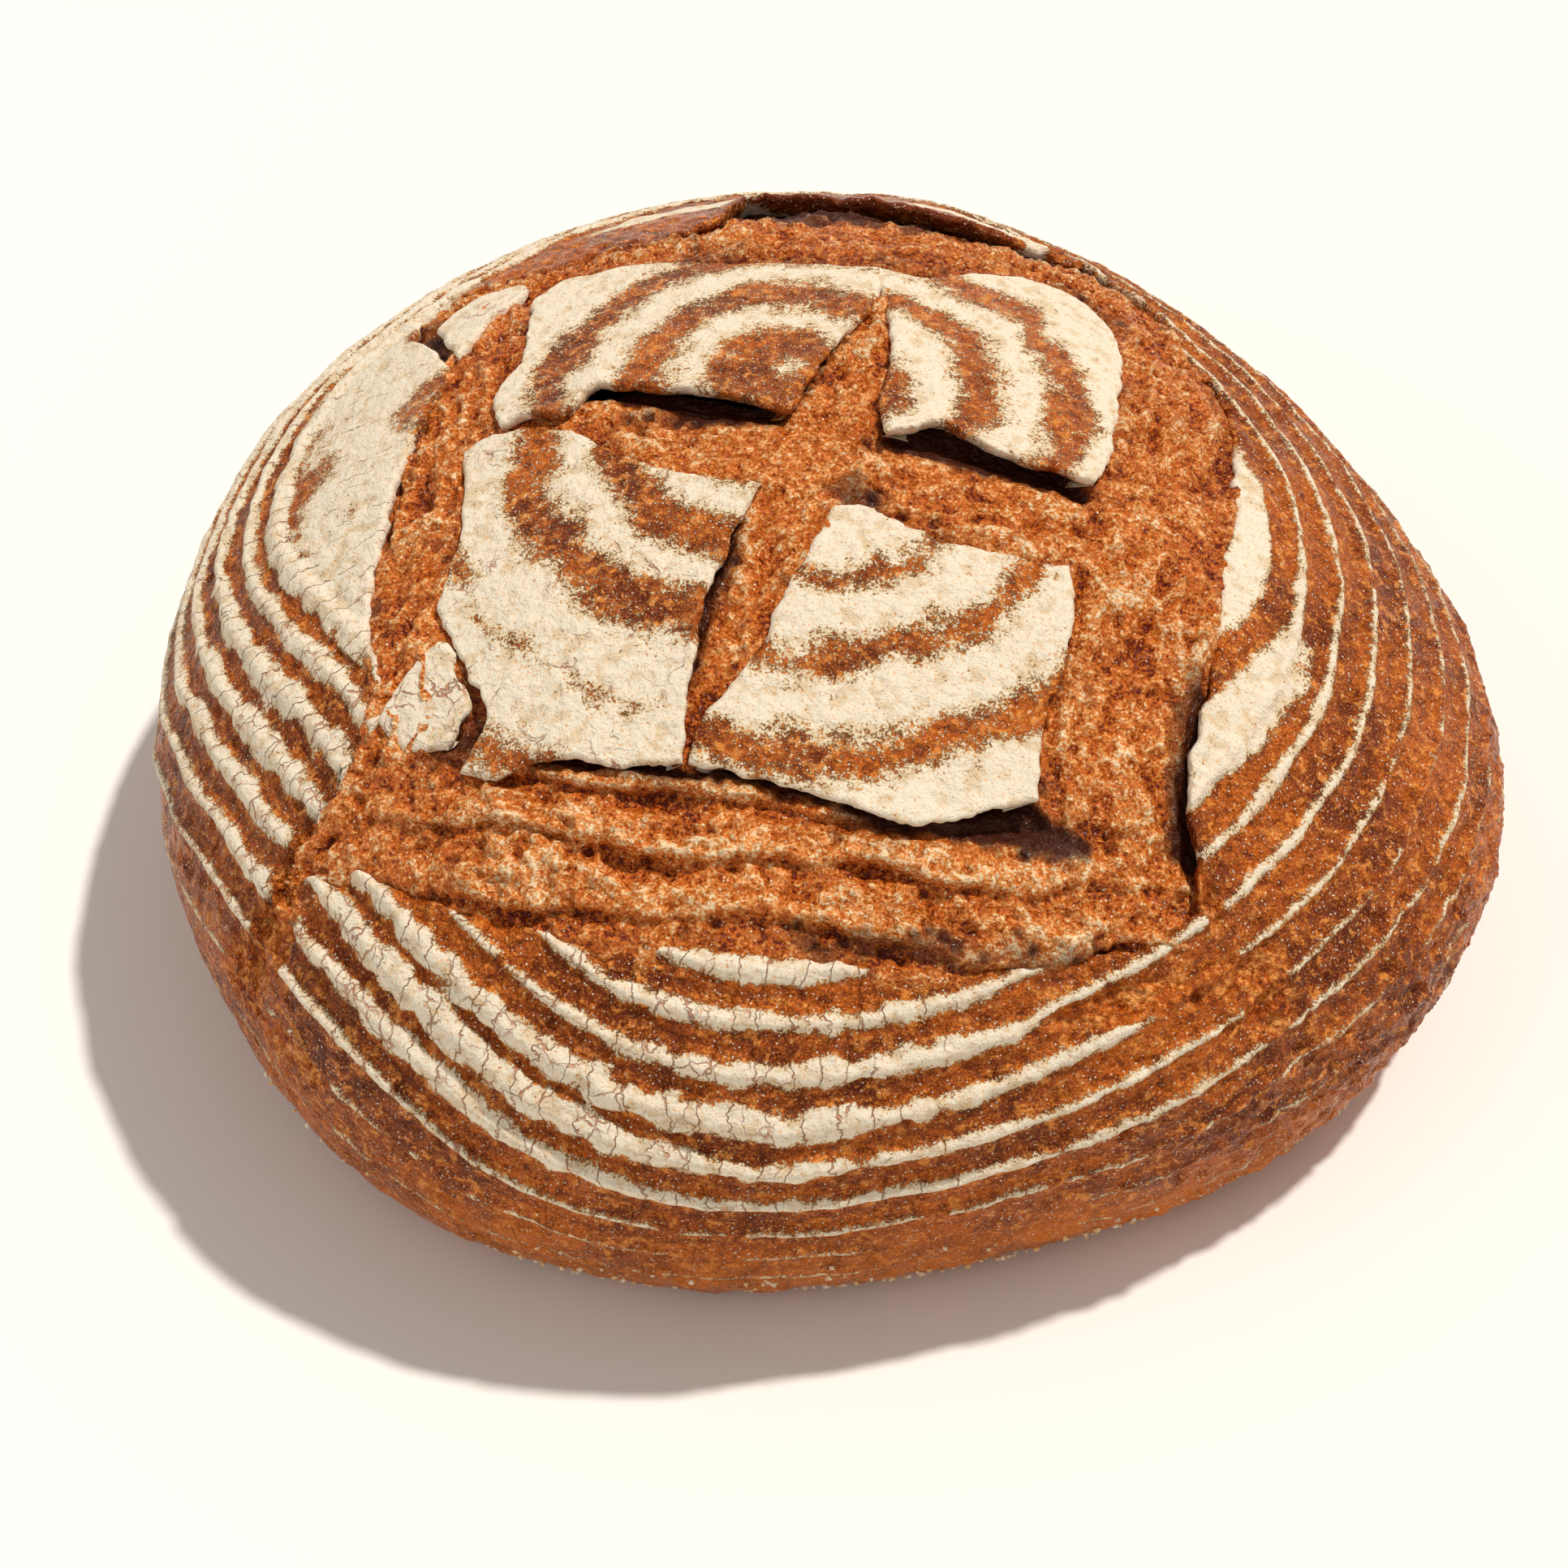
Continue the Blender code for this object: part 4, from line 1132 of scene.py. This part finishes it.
CAMERA_ELEVATION = 46.0
CAMERA_DISTANCE = 562.5
CAMERA_TARGET = (-4.3, -23.9, 37.5)
CAMERA_LENS = 69.67
SENSOR_WIDTH = 36.0
FLOOR_COLOUR, FLOOR_GLOSS, FLOOR_REACH = "#f3efe9", 0.9, 4.0  # colour, roughness and reach in m
ROOM_COLOUR, ROOM_STRENGTH = "#fffdf9", 0.42
SUN_COLOUR, SUN_STRENGTH, SUN_ANGLE, SUN_FROM = "#fffbf5", 2.75, 3.0, (0.42, 0.22, 1.0)
FILL_WATTS, FILL_SIZE, FILL_FROM = 2.0, 0.9, (-0.9, -0.7, 0.8)


def aim(name, data, place, facing):
    """Put a light or the camera at a place, with its back along a direction."""
    thing = bpy.data.objects.new(name, data)
    thing.location = place
    thing.rotation_euler = Vector(facing).to_track_quat("Z", "Y").to_euler()
    bpy.context.scene.collection.objects.link(thing)
    return thing


def build_stage():
    """Set the floor, one high sun a little behind and to the right, a soft fill and the camera."""
    scene = bpy.context.scene
    scene.view_settings.view_transform = "Standard"
    corners = [(x * FLOOR_REACH, y * FLOOR_REACH, 0.0) for x, y in ((-1, -1), (1, -1), (1, 1), (-1, 1))]
    floor_mesh = bpy.data.meshes.new("floor")
    floor_mesh.from_pydata(corners, [], [(0, 1, 2, 3)])
    paint = bpy.data.materials.new("matte_white_table")
    paint.use_nodes = True
    sockets = paint.node_tree.nodes["Principled BSDF"].inputs
    sockets["Base Color"].default_value = linear(FLOOR_COLOUR)
    sockets["Roughness"].default_value = FLOOR_GLOSS
    floor_mesh.materials.append(paint)
    floor = bpy.data.objects.new("floor", floor_mesh)
    scene.collection.objects.link(floor)

    scene.world = bpy.data.worlds.new("studio")
    scene.world.use_nodes = True
    sockets = scene.world.node_tree.nodes["Background"].inputs
    sockets["Color"].default_value = linear(ROOM_COLOUR)
    sockets["Strength"].default_value = ROOM_STRENGTH

    sun = bpy.data.lights.new("key", "SUN")
    sun.energy = SUN_STRENGTH
    sun.angle = math.radians(SUN_ANGLE)
    sun.color = linear(SUN_COLOUR)[:3]
    aim("key", sun, (0.0, 0.0, 0.0), SUN_FROM)
    fill = bpy.data.lights.new("fill", "AREA")
    fill.energy = FILL_WATTS
    fill.size = FILL_SIZE
    aim("fill", fill, FILL_FROM, FILL_FROM)

    elevation = math.radians(CAMERA_ELEVATION)
    back = np.array((0.0, -math.cos(elevation), math.sin(elevation)))
    target = np.array(CAMERA_TARGET) - outline_centre()
    lens = bpy.data.cameras.new("camera")
    lens.lens = CAMERA_LENS
    lens.sensor_width = SENSOR_WIDTH
    scene.camera = aim("camera", lens, (target + back * CAMERA_DISTANCE) * MM, back)


# ---------------------------------------------------------------- the add-on

class LOAF_OT_side_crust(bpy.types.Operator):
    """Build the ridged side crust with its heel and base"""
    bl_idname = "loaf.side_crust"
    bl_label = "Side crust"

    def execute(self, context):
        build_side_skin()
        return {"FINISHED"}


class LOAF_OT_plates(bpy.types.Operator):
    """Build the floured plates and flaps of crust on top"""
    bl_idname = "loaf.plates"
    bl_label = "Crust plates"

    def execute(self, context):
        for seed, (name, plan) in enumerate({**PLATES, **FLAPS}.items()):
            build_plate(name, plan, 100 + 100 * seed)
        return {"FINISHED"}


class LOAF_OT_torn_crumb(bpy.types.Operator):
    """Build the torn crumb between the crusts"""
    bl_idname = "loaf.torn_crumb"
    bl_label = "Torn crumb"

    def execute(self, context):
        build_torn_crumb()
        return {"FINISHED"}


class LOAF_OT_semolina(bpy.types.Operator):
    """Scatter semolina over the heel"""
    bl_idname = "loaf.semolina"
    bl_label = "Semolina"

    def execute(self, context):
        build_semolina()
        return {"FINISHED"}


class LOAF_OT_stage(bpy.types.Operator):
    """Set the floor, the lights and the camera"""
    bl_idname = "loaf.stage"
    bl_label = "Stage"

    def execute(self, context):
        build_stage()
        return {"FINISHED"}


OPERATORS = (LOAF_OT_stage, LOAF_OT_side_crust, LOAF_OT_plates, LOAF_OT_torn_crumb, LOAF_OT_semolina)


class LOAF_PT_panel(bpy.types.Panel):
    """Lists the loaf's sizes, colours and operators"""
    bl_idname = "LOAF_PT_panel"
    bl_label = "Sourdough loaf"
    bl_space_type = "VIEW_3D"
    bl_region_type = "UI"
    bl_category = "Sourdough"

    def draw(self, context):
        for group in (context.scene.loaf_shape, context.scene.loaf_colours):
            for name in group.bl_rna.properties.keys():
                if name not in ("rna_type", "name"):
                    self.layout.prop(group, name)
        for operator in OPERATORS:
            self.layout.operator(operator.bl_idname)


CLASSES = (LoafShape, LoafColours, *OPERATORS, LOAF_PT_panel)


def register():
    """Register the add-on's classes and give each scene its sizes and colours."""
    for item in CLASSES:
        bpy.utils.register_class(item)
    bpy.types.Scene.loaf_shape = PointerProperty(type=LoafShape)
    bpy.types.Scene.loaf_colours = PointerProperty(type=LoafColours)


def unregister():
    """Take the add-on's classes and properties away again."""
    del bpy.types.Scene.loaf_shape
    del bpy.types.Scene.loaf_colours
    for item in reversed(CLASSES):
        bpy.utils.unregister_class(item)


def main():
    """Build the loaf and its stage."""
    register()
    bpy.ops.loaf.stage()
    bpy.ops.loaf.side_crust()
    bpy.ops.loaf.plates()
    bpy.ops.loaf.torn_crumb()
    bpy.ops.loaf.semolina()


if __name__ == "__main__":
    main()
